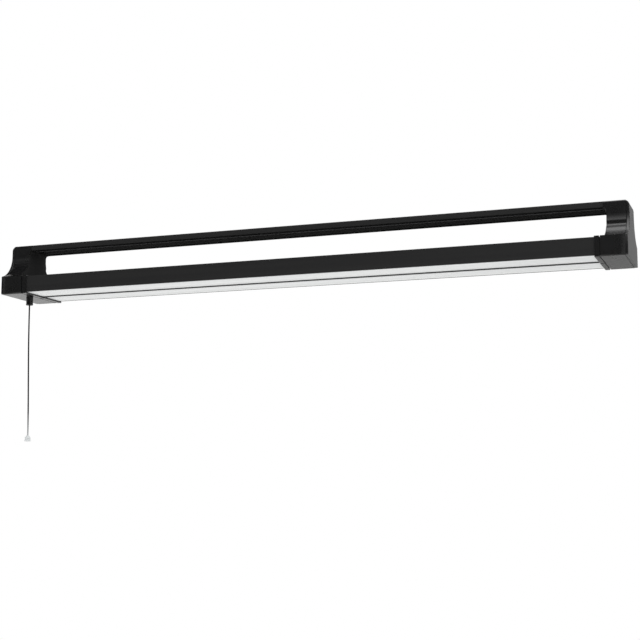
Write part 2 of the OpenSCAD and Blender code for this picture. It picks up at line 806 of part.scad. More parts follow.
module cap_shell() {
    taper = 1;
    taper_len = 7;
    half = cap_w / 2;
    difference() {
        intersection() {
            along_x(x_cap - over, x_seat + over) polygon(end_outline(0, 0, 0, finger_groove));
            along_y(-cap_w, cap_w) polygon(cap_side(0, x_seat));
            linear_extrude(height = 2 * block_top, center = true) polygon([
                [x_cap, -half], [x_seat - taper_len, -half], [x_seat, -half + taper],
                [x_seat, half - taper], [x_seat - taper_len, half], [x_cap, half]
            ]);
        }
        intersection() {
            along_x(x_cap + bulkhead_t, x_seat + over) polygon(end_outline(cap_wall, cap_wall + finger_groove, cap_wall, 0));
            along_y(-cap_w, cap_w) polygon(cap_side(cap_wall, x_seat + over));
        }
        for (p = cap_ports) rod_x(x_cap - over, x_cap + bulkhead_t + over, p[0], p[1], screw_hole_r);
        for (s = [-1, 1]) rod_x(x_block - over, x_block + cap_wall + over, s * rail_port_y, rail_port_z, screw_hole_r);
        block([x_cap - over, x_cap + bulkhead_t + over], [-window_y, window_y], [window_z0, window_z1]);
    }
    // Stiffening ribs inside the column
    for (s = [-1, 1]) block(
        [x_column + cap_wall - eps, x_seat - 5], span(s * 11, 1.6),
        [box_h - cap_wall, block_top - cap_wall + eps]
    );
}

module right_cap() {
    color("#1d1e20") hang() cap_shell();
}

module left_cap() {
    color("#1d1e20") hang() difference() {
        mirror([1, 0, 0]) cap_shell();
        translate([cord_x, cord_y, -over]) cylinder(r = neck_d / 2 + slide_gap, h = cap_wall + 2 * over);
    }
}

// Trim sleeve over the end of the housing, with a flange that makes the
// parting groove against the cap
module collar() {
    g = parting_depth;
    difference() {
        union() {
            block([x_collar_in, x_collar_out], [-cap_w / 2, cap_w / 2], [0, box_h]);
            block([x_collar_out - eps, x_cap], [-cap_w / 2 + g, cap_w / 2 - g], [g, box_h - g]);
        }
        block([x_collar_in - over, x_housing], half_w * [-1, 1] + slide_gap * [-1, 1], [housing_lift - slide_gap, housing_top + slide_gap]);
        block([x_collar_in - over, x_housing], (foot_w / 2 + slide_gap) * [-1, 1], [housing_lift - foot_proud - slide_gap, housing_lift + over]);
        block([x_collar_in - over, x_collar_out + over], [-2, 2], [-over, 1]);
        for (p = cap_ports) rod_x(x_housing - over, x_cap + over, p[0], p[1], screw_hole_r);
        block([x_housing - over, x_cap + over], [-window_y, window_y], [window_z0, window_z1]);
    }
}

module right_collar() {
    color("#1d1e20") hang() collar();
}

module left_collar() {
    color("#1d1e20") hang() mirror([1, 0, 0]) collar();
}

// Corner of the window [y0, y1, z0, z1] that an end outline's point p joins
function corner_for(p, window) =
    let (turn = atan2(p[1] - (window[2] + window[3]) / 2, p[0] - (window[0] + window[1]) / 2))
    turn > 95 ? 2 : turn > 0 ? 1 : turn > -90 ? 0 : 3;

// Strips from front to back that fill an end of n points from point `low`
// upwards, because its outline is hollow above the box
function strips(n, low) = [
    for (k = [low:n / 2 - 2])
        let (f = n - 1 - k)
        for (face = [[k, k + 1, f - 1], [k, f - 1, f]]) face
];

function flipped(faces, base) = [for (face = faces) [base + face[2], base + face[1], base + face[0]]];

// Skin through a list of outlines, each with its own place along X. Its two
// end faces are closed, or have a window [y0, y1, z0, z1] that goes through.
module loft_x(places, outlines, window) {
    n = len(outlines[0]);
    last = len(outlines) - 1;
    skin = [
        for (i = [0:last - 1])
            for (k = [0:n - 1])
                let (
                    a = i * n + k,
                    b = i * n + (k + 1) % n
                )
                for (face = [[a, b + n, b], [a, a + n, b + n]]) face
    ];
    rings = [for (i = [0:last]) for (p = outlines[i]) [places[i], p[0], p[1]]];
    if (is_undef(window)) {
        ends = concat(strips(n, 0), flipped(strips(n, 0), last * n));
        polyhedron(points = rings, faces = concat(skin, ends), convexity = 6);
    } else {
        corners = [[window[1], window[2]], [window[1], window[3]], [window[0], window[3]], [window[0], window[2]]];
        inner = len(rings);
        outer = inner + 4;
        frames = [for (x = [places[0], places[last]]) for (c = corners) [x, c[0], c[1]]];
        box = concat([for (k = [0:box_points]) k], [for (k = [box_points:-1:0]) n - 1 - k]);
        back = [
            for (j = [0:len(box) - 1])
                let (
                    k = box[j],
                    m = box[(j + 1) % len(box)],
                    c = corner_for(outlines[0][k], window),
                    d = corner_for(outlines[0][m], window)
                )
                for (face = c == d ? [[k, m, inner + c]] : [[k, m, inner + c], [m, inner + d, inner + c]]) face
        ];
        front = [
            for (j = [0:len(box) - 1])
                let (
                    k = box[j],
                    m = box[(j + 1) % len(box)],
                    c = corner_for(outlines[last][k], window),
                    d = corner_for(outlines[last][m], window),
                    base = last * n
                )
                for (face = c == d ? [[base + m, base + k, outer + c]]
                    : [[base + m, base + k, outer + c], [base + m, outer + c, outer + d]]) face
        ];
        sides = [
            for (j = [0:3])
                let (i = (j + 1) % 4)
                for (face = [[outer + i, outer + j, inner + j], [outer + i, inner + j, inner + i]]) face
        ];
        upper = concat(strips(n, box_points), flipped(strips(n, box_points), last * n));
        polyhedron(points = concat(rings, frames), faces = concat(skin, upper, back, front, sides), convexity = 6);
    }
}

// End cover: a lid with a skirt that plugs into the cap. Its skin starts in
// the pocket behind the lid and runs round the skirt to the outside, where
// the top follows the crown and the sides only have small edge radii.
module end_cover(window) {
    box_edge = 0.8;
    neck_edge = 1.2;
    seam = 0.6;
    skirt = 4;
    flat_x = x_seat + 0.8;
    first = crown_turn(flat_x);
    steps = 8;
    turns = [for (i = [0:steps]) first + (90 - first) * i / steps];
    fit = cap_wall + slide_gap;
    deep = 2 * cap_wall;
    pocket = end_outline(deep, deep + finger_groove, deep, 0);
    plug = end_outline(fit, fit + finger_groove, fit, 0);
    loft_x(
        concat(
            [x_end - cap_wall, x_seat - skirt, x_seat - skirt, x_seat, x_seat],
            [for (a = turns) crown_x(a)]
        ),
        concat(
            [pocket, pocket, plug, plug],
            [end_outline(seam + 0.4, seam, crown_drop(crown_turn(x_seat)) + seam, 0)],
            [for (a = turns)
                end_outline(0.4 + edge_drop(crown_x(a), box_edge), edge_drop(crown_x(a), neck_edge), crown_drop(a), 0)]
        ),
        window
    );
}

// How far an edge of radius r at the lamp's end has drawn in at place x
function edge_drop(x, r) =
    let (near = max(x - x_end + r, 0))
    r - sqrt(max(r * r - near * near, 0));

module right_end_cover() {
    color("#1d1e20") hang() end_cover();
}

module left_end_cover() {
    y = inlet_size[1] / 2 + slide_gap;
    z = inlet_size[2] / 2 + slide_gap;
    color("#1d1e20") hang() mirror([1, 0, 0])
        end_cover([inlet_y - y, inlet_y + y, inlet_z - z, inlet_z + z]);
}

module cap_screws() {
    color("#b8babd") hang() both_ends() for (p = cap_ports)
        translate([x_cap + bulkhead_t, p[0], p[1]]) rotate([0, 90, 0]) screw(bulkhead_t + flange_t + 12, head_r);
}

module rail_screws() {
    color("#b8babd") hang() both_ends() for (s = [-1, 1])
        translate([x_block + cap_wall, s * rail_port_y, rail_port_z]) rotate([0, 90, 0]) screw(cap_wall + 14, rail_head_r);
}

// ---------------------------------------------------------------- pull switch

module at_cord() {
    hang() translate([cord_x, cord_y, 0]) children();
}

// Case with its threaded neck, which passes the floor of the left cap
module switch_case() {
    color("#2a2a2d") at_cord() difference() {
        union() {
            block([case_u0, case_u1], [-case_v, case_v], [cap_wall, case_top]);
            translate([0, 0, -bushing_len + 5]) cylinder(r = neck_d / 2, h = bushing_len - 5 + cap_wall + eps);
        }
        block([case_u0 + case_wall, case_u1 - case_wall], [-case_v + case_wall, case_v - case_wall], [cap_wall + case_wall, case_top + over]);
        translate([0, 0, -bushing_len]) cylinder(r = cord_r + 0.5, h = bushing_len + 10);
        rod_y(pivot_u, -case_v + 0.4, case_v - 0.4, pivot_z, pivot_r + run_gap);
    }
}

module switch_lid() {
    step = case_wall + slide_gap;
    color("#3a3a3e") at_cord() {
        block([case_u0, case_u1], [-case_v, case_v], [case_top, case_top + 1.5]);
        block([case_u0 + step, case_u1 - step], [-case_v + step, case_v - step], [case_top - 1, case_top + eps]);
    }
}

// Barrel screwed onto the neck from below; the cord comes out of its mouth
module switch_bushing() {
    r = bushing_d / 2;
    bore = cord_r + 0.5;
    color("#141416") at_cord() difference() {
        rotate_extrude() polygon([
            [0, 0], [r - 0.3, 0], [r, -0.6], [r - 0.2, -bushing_len + 3],
            [r, -bushing_len + 1.6], [r, -bushing_len + 0.5], [r - 0.5, -bushing_len], [0, -bushing_len]
        ]);
        translate([0, 0, -bushing_len + 4.7]) cylinder(r = neck_d / 2 + run_gap, h = bushing_len);
        translate([0, 0, -bushing_len - over]) cylinder(r = bore, h = bushing_len);
        translate([0, 0, -bushing_len - eps]) cylinder(r1 = bore + 1, r2 = bore, h = 1);
    }
}

module switch_pivot() {
    color("#b8babd") at_cord() rod_y(pivot_u, -case_v + 0.5, case_v - 0.5, pivot_z, pivot_r);
}

// Forked arm that the bead pulls down
module switch_arm() {
    color("#d8d2c0") at_cord() translate([pivot_u, 0, pivot_z]) difference() {
        union() {
            rod_y(0, -arm_half_w, arm_half_w, 0, 3.2);
            block([0, arm_reach], [-arm_half_w, arm_half_w], [-arm_t, 0]);
        }
        rod_y(0, -arm_half_w - over, arm_half_w + over, 0, pivot_r + run_gap);
        block([-pivot_u - 2.2, arm_reach + over], arm_slot / 2 * [-1, 1], [-arm_t - over, over]);
    }
}

// Ratchet drum with eight saw teeth beside a plain barrel
module switch_drum() {
    teeth = 8;
    saw = [
        for (i = [0:teeth - 1]) for (p = [[band_r, 0], [3.5, 40]])
            let (a = 360 * i / teeth + p[1]) [p[0] * cos(a), p[0] * sin(a)]
    ];
    color("#e6e0cc") at_cord() difference() {
        union() {
            rod_y(pivot_u, drum_v0, drum_v1, pivot_z, drum_r - 0.6);
            translate([pivot_u, drum_v0 + 1.2, pivot_z]) rotate([90, 0, 0]) linear_extrude(height = 1.2) polygon(saw);
            rod_y(pivot_u, drum_v0 + 1.4, drum_v1, pivot_z, drum_r);
        }
        rod_y(pivot_u, drum_v0 - over, drum_v1 + over, pivot_z, pivot_r + run_gap);
    }
}

// Brass half band that bridges the two contacts once every half turn
module contact_band() {
    color("#c6a353") at_cord() difference() {
        rod_y(pivot_u, drum_v0 + 1.6, drum_v1 - 0.2, pivot_z, band_r);
        rod_y(pivot_u, drum_v0, drum_v1 + over, pivot_z, drum_r);
        block([pivot_u - band_r - over, pivot_u], [drum_v0, drum_v1], span(pivot_z, 2 * band_r + 2 * over));
    }
}

// Two blades from the end wall of the case, above and below the drum
module switch_contacts() {
    gap = 0.3;
    blade = 0.6;
    u = case_u0 + case_wall;
    color("#c6a353") at_cord() {
        for (s = [-1, 1])
            block([u, pivot_u + 2], [drum_v0 + 1.6, drum_v1], span(pivot_z + s * (band_r + gap + blade / 2), blade));
    }
}

// Torsion spring round the pivot, on the side away from the drum
module return_spring() {
    turns = 4;
    pitch = 1.1;
    coil_r = 2.2;
    steps = 14;
    start = -case_v + case_wall + 0.5;
    color("#a9abae") at_cord() tube(
        [for (i = [0:turns * steps])
            let (a = 360 * i / steps)
            [pivot_u + coil_r * cos(a), start + pitch * i / steps, pivot_z + coil_r * sin(a)]],
        0.35, 6
    );
}

// Bead crimped on the cord's upper end
module cord_bead() {
    color("#c6a353") at_cord() difference() {
        translate([0, 0, bead_z]) sphere(r = bead_r);
        translate([0, 0, bead_z - bead_r - over]) cylinder(r = cord_r + run_gap, h = 2 * bead_r + 2 * over);
    }
}

// The stretch of the cord inside the switch and its bushing
module cord_stub() {
    color("#191919") at_cord() translate([0, 0, mouth_z]) cylinder(r = cord_r, h = bead_z + bead_r + 0.5 - mouth_z);
}

cord_points = [for (p = cord_route) [p[0], 0, mouth_z - p[1]]];
cord_end = cord_points[len(cord_points) - 1];

module pull_cord() {
    color("#191919") at_cord() tube(smooth_route(cord_points, 4), cord_r, cord_sides);
}

// Bell-shaped knob on the cord's lower end: shares of its rim radius and
// height, from the cord down to the rim
bell = [[0.3, 0], [0.46, 0.06], [0.66, 0.15], [0.81, 0.28], [0.88, 0.45], [0.92, 0.68], [0.985, 0.9], [1, 0.97]];

bell_hollow = [[0, 1.1], [0.83, 1.1], [0.83, 0.99], [0.765, 0.84], [0.7, 0.68], [0.37, 0.68], [0.34, 0.66], [0, 0.66]];

module pull_knob() {
    r = knob_d / 2;
    h = knob_h;
    color("#e3e5e6") at_cord() translate(cord_end) difference() {
        rotate_extrude() polygon(concat(
            [[0, 0]],
            [for (p = smooth_route(bell, 3)) [p[0] * r, -p[1] * h]],
            [[0.96 * r, -h], [0, -h]]
        ));
        rotate_extrude() polygon([for (p = bell_hollow) [p[0] * r, -p[1] * h]]);
    }
}

housing();
top_rail();
left_cap();
right_cap();
left_collar();
right_collar();
left_end_cover();
right_end_cover();
front_lens();
rear_lens();
front_tray();
rear_tray();
front_light_board();
rear_light_board();
front_light_chips();
rear_light_chips();
board_screws();
driver_case();
driver_lid();
driver_board();
driver_parts();
driver_screws();
terminal_block();
terminal_screws();
earth_screw();
power_inlet();
inlet_pins();
mains_wires();
driver_wires();
light_wires();
switch_case();
switch_lid();
switch_bushing();
switch_arm();
switch_pivot();
switch_drum();
contact_band();
switch_contacts();
return_spring();
cord_bead();
cord_stub();
pull_cord();
pull_knob();
cap_screws();
rail_screws();
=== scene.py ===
# %% [markdown]
# # A hanging shop light
# This lesson dresses a finished CAD model of a four-foot shop light: a black extruded housing with two
# frosted lenses below, a flat rail above held by two moulded end caps, and a pull cord at the left end.
# The CAD model is loaded as a fixed frame in metres. Pieces that show are remade here with soft edges,
# and every piece, also inside the lamp, gets the finish of its real material.

# %% Load the frame and the tools
import json
import math
import bmesh
import bpy
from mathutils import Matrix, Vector

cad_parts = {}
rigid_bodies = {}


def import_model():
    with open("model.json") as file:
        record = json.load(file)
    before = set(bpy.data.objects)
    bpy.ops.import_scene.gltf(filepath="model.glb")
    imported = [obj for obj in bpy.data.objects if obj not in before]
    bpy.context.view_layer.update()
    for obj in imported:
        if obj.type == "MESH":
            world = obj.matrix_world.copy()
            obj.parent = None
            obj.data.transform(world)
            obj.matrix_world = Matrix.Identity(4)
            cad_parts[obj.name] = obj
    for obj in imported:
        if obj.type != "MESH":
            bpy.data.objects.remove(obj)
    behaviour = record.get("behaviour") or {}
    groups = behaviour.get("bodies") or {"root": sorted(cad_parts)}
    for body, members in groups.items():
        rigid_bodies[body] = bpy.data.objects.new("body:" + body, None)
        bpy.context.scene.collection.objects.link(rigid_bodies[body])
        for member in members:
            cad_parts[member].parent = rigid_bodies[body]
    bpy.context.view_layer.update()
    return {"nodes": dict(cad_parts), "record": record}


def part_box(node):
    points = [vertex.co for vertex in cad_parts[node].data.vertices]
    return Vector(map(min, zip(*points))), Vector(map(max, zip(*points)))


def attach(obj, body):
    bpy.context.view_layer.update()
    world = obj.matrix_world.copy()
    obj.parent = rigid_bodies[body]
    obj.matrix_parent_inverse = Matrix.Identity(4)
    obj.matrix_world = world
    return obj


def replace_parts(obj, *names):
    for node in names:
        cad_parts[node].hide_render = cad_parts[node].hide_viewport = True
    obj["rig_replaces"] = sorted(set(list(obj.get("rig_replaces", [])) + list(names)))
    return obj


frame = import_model()
nodes = frame["nodes"]
record = frame["record"]
body_of = {n: body for body, names in record["behaviour"]["bodies"].items() for n in names}

# %% [markdown]
# ## The camera
# The photograph was taken from below and in front, a little to the right of the lamp, with a long lens.
# A camera set by eye would come close, but then no size could be compared with the picture. So these
# numbers come from fitting the lamp's straight edges to it, and they aren't round.

# %% Camera
TILTED_UP = 0.1425  # radians above the level
TURNED_LEFT = 0.3479  # radians from looking straight back
camera_lens = bpy.data.cameras.new("camera_lens")
camera_lens.lens = 74.898
camera_lens.sensor_width = 36.0
camera = bpy.data.objects.new("camera", camera_lens)
camera.location = (0.870279, -2.2962306, -0.52636)
camera.rotation_euler = (math.pi / 2 + TILTED_UP, 0.0, TURNED_LEFT)
bpy.context.scene.collection.objects.link(camera)
bpy.context.scene.camera = camera
bpy.context.scene.view_settings.view_transform = "Standard"
print("camera at", tuple(round(x, 3) for x in camera.location))

# %% [markdown]
# ## Working tools
# Blender's operators act on whatever is selected, and the loaded nodes start out selected. So each step
# begins by selecting one piece only. In edit mode, vertices, edges and faces are chosen by their place or
# direction, as one would click on them by hand.

# %% Select, pick and finish
MM = 0.001
TOUCHING = 0.001 * MM  # points this close to each other are one point
NEAR = 0.02 * MM  # how far an edge may lie from the plane that it is looked for in


def only(piece):
    """Make one object the only selected one, and the active one."""
    if bpy.context.object and bpy.context.object.mode != "OBJECT":
        bpy.ops.object.mode_set(mode="OBJECT")
    bpy.ops.object.select_all(action="DESELECT")
    piece.select_set(True)
    bpy.context.view_layer.objects.active = piece


def pick(kind, test):
    """In edit mode, select the VERT, EDGE or FACE parts for which the test holds."""
    bpy.ops.mesh.select_mode(type=kind)
    bpy.ops.mesh.select_all(action="DESELECT")
    mesh = bmesh.from_edit_mesh(bpy.context.object.data)
    chosen = [p for p in {"VERT": mesh.verts, "EDGE": mesh.edges, "FACE": mesh.faces}[kind] if test(p)]
    for part in chosen:
        part.select_set(True)
    mesh.select_flush_mode()
    bmesh.update_edit_mesh(bpy.context.object.data)
    return len(chosen)


def rides_as(piece, node):
    """The piece stands for a CAD node and rides on the same body."""
    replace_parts(piece, node)
    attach(piece, body_of[node])
    return piece


print("tools ready")

# %% [markdown]
# ## The pull cord
# The real cord is a braided polyester sleeve over a thin core, and hangs 260 mm from the switch, almost
# straight: a light knob can't pull the slight set out of it. A curve with a round bevel would make it too.
# Here a circle is extruded from point to point down the route that the CAD model has, because that leaves
# plain rings for a UV map, which runs once round the cord and along its length so that the braid can follow
# it. The sleeve's strands stand a little proud of the CAD model's plain tube.

# %% The cord's route
CORD_X, CORD_Y = -574.5, -18.0  # the cord's upright line, in mm
CAPS_UNDERSIDE = -102.7  # height in mm
BUSHING_LENGTH = 16.0  # in mm
cord_mouth = Vector((CORD_X, CORD_Y, CAPS_UNDERSIDE - BUSHING_LENGTH)) * MM
cord_r = 1.4 * MM
drift_and_depth = [(0, 0), (0, 12), (0.2, 40), (0.8, 80), (1.8, 120),
                   (3, 160), (4.2, 200), (5, 235), (5.2, 250), (5.2, 260)]


def smooth(points, steps):
    """A smooth line through the points, with even steps between each two."""
    line = []
    for i in range(len(points) - 1):
        a, b, c, d = (points[min(max(j, 0), len(points) - 1)] for j in range(i - 1, i + 3))
        for k in range(steps):
            t = k / steps
            line.append((b * 2 + (c - a) * t + (a * 2 - b * 5 + c * 4 - d) * t ** 2
                         + (b * 3 - a - c * 3 + d) * t ** 3) / 2)
    return line + [points[-1]]


cord_line = smooth([cord_mouth + Vector((x, 0, -depth)) * MM for x, depth in drift_and_depth], 4)

# %% The cord's body
bpy.ops.object.select_all(action="DESELECT")
bpy.ops.mesh.primitive_circle_add(vertices=16, radius=cord_r, location=cord_line[0])
pull_cord = bpy.context.object
pull_cord.name = "pull_cord_braided"
bpy.ops.object.mode_set(mode="EDIT")
bpy.ops.mesh.select_all(action="SELECT")
for here, there in zip(cord_line, cord_line[1:]):
    bpy.ops.mesh.extrude_region_move(TRANSFORM_OT_translate={"value": there - here})
for end in (cord_line[0], cord_line[-1]):
    pick("VERT", lambda v: abs(v.co.z + cord_line[0].z - end.z) < TOUCHING)
    bpy.ops.mesh.edge_face_add()
bpy.ops.mesh.select_all(action="SELECT")
bpy.ops.mesh.normals_make_consistent(inside=False)
bpy.ops.object.mode_set(mode="OBJECT")
bpy.ops.object.transform_apply(location=True, rotation=True, scale=True)
bpy.ops.object.shade_smooth_by_angle(angle=math.radians(50))
print("cord faces:", len(pull_cord.data.polygons))

# %% The cord's UV map: once round, and metres along
round_and_along = pull_cord.data.uv_layers.new(name="round_and_along")
for face in pull_cord.data.polygons:
    turns = []
    for corner in face.loop_indices:
        point = pull_cord.data.vertices[pull_cord.data.loops[corner].vertex_index].co
        centre = min(cord_line, key=lambda p: abs(p.z - point.z))
        turns.append(math.atan2(point.y - centre.y, point.x - centre.x) / math.tau)
    for corner, turn in zip(face.loop_indices, turns):
        point = pull_cord.data.vertices[pull_cord.data.loops[corner].vertex_index].co
        if max(turns) - min(turns) > 0.5 and turn < 0:
            turn += 1
        round_and_along.data[corner].uv = (turn, cord_line[0].z - point.z)
rides_as(pull_cord, "pull_cord")
print("UV corners:", len(round_and_along.data))

# %% [markdown]
# ## Turned pieces
# The knob and the switch's bushing are round, and could be stacked from cylinders and cones. But one outline
# holds every step and rounding at once, as on a lathe. Half of it is drawn down from the axis by extruding
# one vertex from point to point, and the spin tool turns it round the cord's line. Doubles on the axis are
# merged before the normals are made to point outwards.

# %% A tool that turns an outline
def turned(name, outline, centre, steps=48):
    """Spin an outline of (radius, height) in mm round the upright line through the centre."""
    bpy.ops.object.select_all(action="DESELECT")
    bpy.ops.mesh.primitive_plane_add(size=MM, location=centre)
    piece = bpy.context.object
    piece.name = name
    bpy.ops.object.mode_set(mode="EDIT")
    bpy.ops.mesh.select_mode(type="VERT")
    bpy.ops.mesh.select_all(action="SELECT")
    bpy.ops.mesh.merge(type="CENTER")
    bpy.ops.transform.translate(value=(outline[0][0] * MM, 0, outline[0][1] * MM))
    for (r, z), (r2, z2) in zip(outline, outline[1:]):
        step = ((r2 - r) * MM, 0, (z2 - z) * MM)
        bpy.ops.mesh.extrude_vertices_move(TRANSFORM_OT_translate={"value": step})
    bpy.ops.mesh.select_all(action="SELECT")
    bpy.ops.mesh.spin(steps=steps, angle=math.tau, center=centre, axis=(0, 0, 1))
    bpy.ops.mesh.select_all(action="SELECT")
    bpy.ops.mesh.remove_doubles(threshold=TOUCHING)
    bpy.ops.mesh.normals_make_consistent(inside=False)
    bpy.ops.object.mode_set(mode="OBJECT")
    bpy.ops.object.transform_apply(location=True, rotation=True, scale=True)
    bpy.ops.object.shade_smooth_by_angle(angle=math.radians(32))
    print(name, "has", len(piece.data.polygons), "faces")
    return piece


# %% [markdown]
# ## The knob
# A small bell of milky plastic, open below, with a stem inside that holds the cord's knot. The wall is
# about 1.3 mm, so the outline comes down outside, rounds the rim and goes up again inside. The outside is
# smoothed between its points, because a bell has no steps.

# %% Knob
bell = [(1.9, 0), (2.9, -0.7), (4.2, -1.7), (5.1, -3.1), (5.6, -5.0),
        (5.85, -7.6), (6.2, -9.9), (6.4, -10.9), (6.3, -11.3), (6.0, -11.4)]
hollow = [(5.3, -11.3), (4.9, -9.6), (4.5, -7.8), (2.4, -7.8), (2.2, -7.6), (0, -7.6)]
knob_curve = smooth([Vector((r, z, 0)) for r, z in bell], 3)
knob_outline = [(0, 0)] + [(p.x, p.y) for p in knob_curve] + hollow
pull_knob = turned("pull_knob_bell", knob_outline, cord_line[-1])
rides_as(pull_knob, "pull_knob")

# %% [markdown]
# ## The bushing
# The nylon barrel under the cap that the cord comes out of. Round its mouth it has a bead, and above that
# a waist where fingers turn it onto the thread. It is turned like the knob, from one closed outline that
# goes down outside and up again through the mouth and the bore for the switch's threaded neck.

# %% Bushing
bushing_top = Vector((CORD_X, CORD_Y, CAPS_UNDERSIDE)) * MM
shoulder = [(3.0, 0), (6.7, 0), (6.95, -0.3), (6.95, -1.6), (6.75, -1.9), (6.7, -2.4)]
waist = [(6.72, -12.6), (6.8, -13.4), (7.0, -14.2), (7.0, -15.3), (6.85, -15.75), (6.4, -16.0)]
mouth = [(2.7, -16.0), (2.2, -15.7), (1.7, -15.0), (1.7, -11.35)]
thread_bore = [(5.05, -11.3), (5.05, -0.4), (3.0, 0)]
bushing = turned("switch_bushing_barrel", shoulder + waist + mouth + thread_bore, bushing_top, steps=56)
rides_as(bushing, "switch_bushing")

# %% [markdown]
# ## Moulded and extruded shells
# The CAD solids have the right shapes but knife-sharp edges, and a real moulding or extrusion never has.
# An edge of a few tenths of a millimetre catches the light and makes the piece look solid. The shells could
# be modelled again, but a copy keeps every size. So each visible shell is copied, its loose triangles are
# merged into whole faces, and a bevel rounds the edges.

# %% A tool that dresses a copy of a CAD node
def copied(node, name, whole_faces=True):
    """A copy of a node's mesh as a new piece, joined up, as a rule with flat triangles merged into faces."""
    piece = bpy.data.objects.new(name, nodes[node].data.copy())
    piece.data.materials.clear()
    bpy.context.scene.collection.objects.link(piece)
    only(piece)
    bpy.ops.object.mode_set(mode="EDIT")
    bpy.ops.mesh.select_all(action="SELECT")
    bpy.ops.mesh.remove_doubles(threshold=2 * TOUCHING)
    if whole_faces:
        bpy.ops.mesh.dissolve_limited(angle_limit=math.radians(0.6))
    bpy.ops.object.mode_set(mode="OBJECT")
    return piece


def soft_edges(piece, width_mm):
    """Round every sharp edge. Flat faces keep their own normals up to the rounding."""
    sharp = math.radians(35)
    only(piece)
    bevel = piece.modifiers.new("edges", "BEVEL")
    bevel.width = width_mm * MM
    bevel.segments = 2
    bevel.limit_method = "ANGLE"
    bevel.angle_limit = sharp
    bevel.use_clamp_overlap = True
    bpy.ops.object.modifier_apply(modifier=bevel.name)
    bpy.ops.object.shade_smooth_by_angle(angle=sharp)
    return true_flats(piece)


def true_flats(piece):
    """Weigh normals by area, so that a wide flat face isn't shaded as if it curved into its edge."""
    weights = piece.modifiers.new("weights", "WEIGHTED_NORMAL")
    weights.keep_sharp = True
    bpy.ops.object.modifier_apply(modifier=weights.name)
    return piece


print("shell tools ready")

# %% [markdown]
# ## Housing and rail
# Both are cut from long aluminium extrusions. A die leaves corners of about 0.3 mm, and apart from the
# rail's two hanging holes nothing interrupts the faces from end to end. The housing's two upper edges are
# rounder, about 1.5 mm. One bevel has one width, so these two are picked by their place and rounded first.

# %% Housing and rail
HOUSING_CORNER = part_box("housing")[1]


def rounded(piece, test, width_mm, segments):
    """Round only those edges of a piece for which the test holds, and count them."""
    only(piece)
    bpy.ops.object.mode_set(mode="EDIT")
    found = pick("EDGE", test)
    bpy.ops.mesh.bevel(offset=width_mm * MM, segments=segments, affect="EDGES", clamp_overlap=True)
    bpy.ops.object.mode_set(mode="OBJECT")
    return found


def on_upper_edge(edge):
    """True for the long edges between the housing's flat top and its front or back."""
    return all(abs(v.co.z - HOUSING_CORNER.z) < NEAR and abs(abs(v.co.y) - HOUSING_CORNER.y) < NEAR
               for v in edge.verts)


housing = copied("housing", "housing_extrusion")
print("upper edges:", rounded(housing, on_upper_edge, width_mm=1.5, segments=4))
rail = copied("top_rail", "top_rail_extrusion")
for piece, node in ((housing, "housing"), (rail, "top_rail")):
    rides_as(soft_edges(piece, 0.3), node)
    print(piece.name, len(piece.data.polygons), "faces")

# %% [markdown]
# ## End caps
# Each cap is one moulding: a box round the housing's end, a column that flares down onto it, and a block
# that grips the rail. The column's two upright edges that face the lamp's middle are rounded by about
# 4.5 mm, where a hand holds the lamp, so they too are picked by their place and bevelled first.

# %% Caps
COVER_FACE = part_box("right_end_cover")[1].x
COLUMN_FACE = COVER_FACE - 39.1 * MM  # a column with its cover is 39.1 mm long
COLUMN_HOLLOW = 26 * MM  # edges nearer to the middle than this lie inside the column
CORNER_ANGLE = 0.6  # radians between two faces that meet in a real corner
BOX_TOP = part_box("left_collar")[1].z
RAIL_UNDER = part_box("top_rail")[0].z


def on_column_corner(edge):
    """True for the outer edges between the column's inner face and its front or back."""
    a, b = (v.co for v in edge.verts)
    in_face = all(abs(abs(p.x) - COLUMN_FACE) < NEAR for p in (a, b))
    outside = all(abs(p.y) > COLUMN_HOLLOW and BOX_TOP - MM < p.z < RAIL_UNDER for p in (a, b))
    climbs = abs(a.z - b.z) > 10 * TOUCHING
    if not (in_face and outside and climbs) or len(edge.link_faces) != 2:
        return False
    return edge.calc_face_angle(0) > CORNER_ANGLE


for node in ("left_cap", "right_cap"):
    piece = copied(node, node + "_moulding")
    found = rounded(piece, on_column_corner, width_mm=4.5, segments=5)
    rides_as(soft_edges(piece, 0.35), node)
    print(piece.name, "corner edges:", found, "faces:", len(piece.data.polygons))

# %% [markdown]
# ## Collars and end covers
# The collars are thin sleeves over the housing's ends, with a dark parting groove against the cap. The end
# covers are lofts whose rims already curve, so they need no bevel, only smooth shading over the facets. Only
# a bevel needs whole faces, so here the triangles stay as they are.

# %% Collars and covers
for node in ("left_collar", "right_collar"):
    rides_as(soft_edges(copied(node, node + "_sleeve"), 0.25), node)
for node in ("left_end_cover", "right_end_cover"):
    piece = copied(node, node + "_lid", whole_faces=False)
    bpy.ops.object.shade_smooth_by_angle(angle=math.radians(28))
    rides_as(true_flats(piece), node)
    print(piece.name, len(piece.data.polygons), "faces")

# %% [markdown]
# ## Lenses, inlet and blades
# The lenses are long strips of frosted acrylic that slide into grooves. The inlet is a small moulded socket
# with three brass blades, in the cover at the hidden end. Each only needs its own width of edge, so one loop
# dresses them all.

# %% Lenses, inlet and blades
for node, name, edge_mm in (("front_lens", "front_lens_diffuser", 0.35),
                            ("rear_lens", "rear_lens_diffuser", 0.35),
                            ("power_inlet", "power_inlet_shell", 0.3),
                            ("inlet_pins", "inlet_blades", 0.25)):
    piece = rides_as(soft_edges(copied(node, name), edge_mm), node)
    print(name, len(piece.data.polygons), "faces")

# %% [markdown]
# ## Tools for finishes
# Every finish starts as Blender's standard shader. Values that are the same all over are set on it
# directly, and a few nodes add what varies: grain, streaks, weave or cloudiness. Patterns read Object
# coordinates, which are metres on this lamp, so a pattern's scale is one over its real size. A colour Mix
# node is addressed by number: socket 0 is the amount, 6 and 7 are the two colours, and output 2 the result.

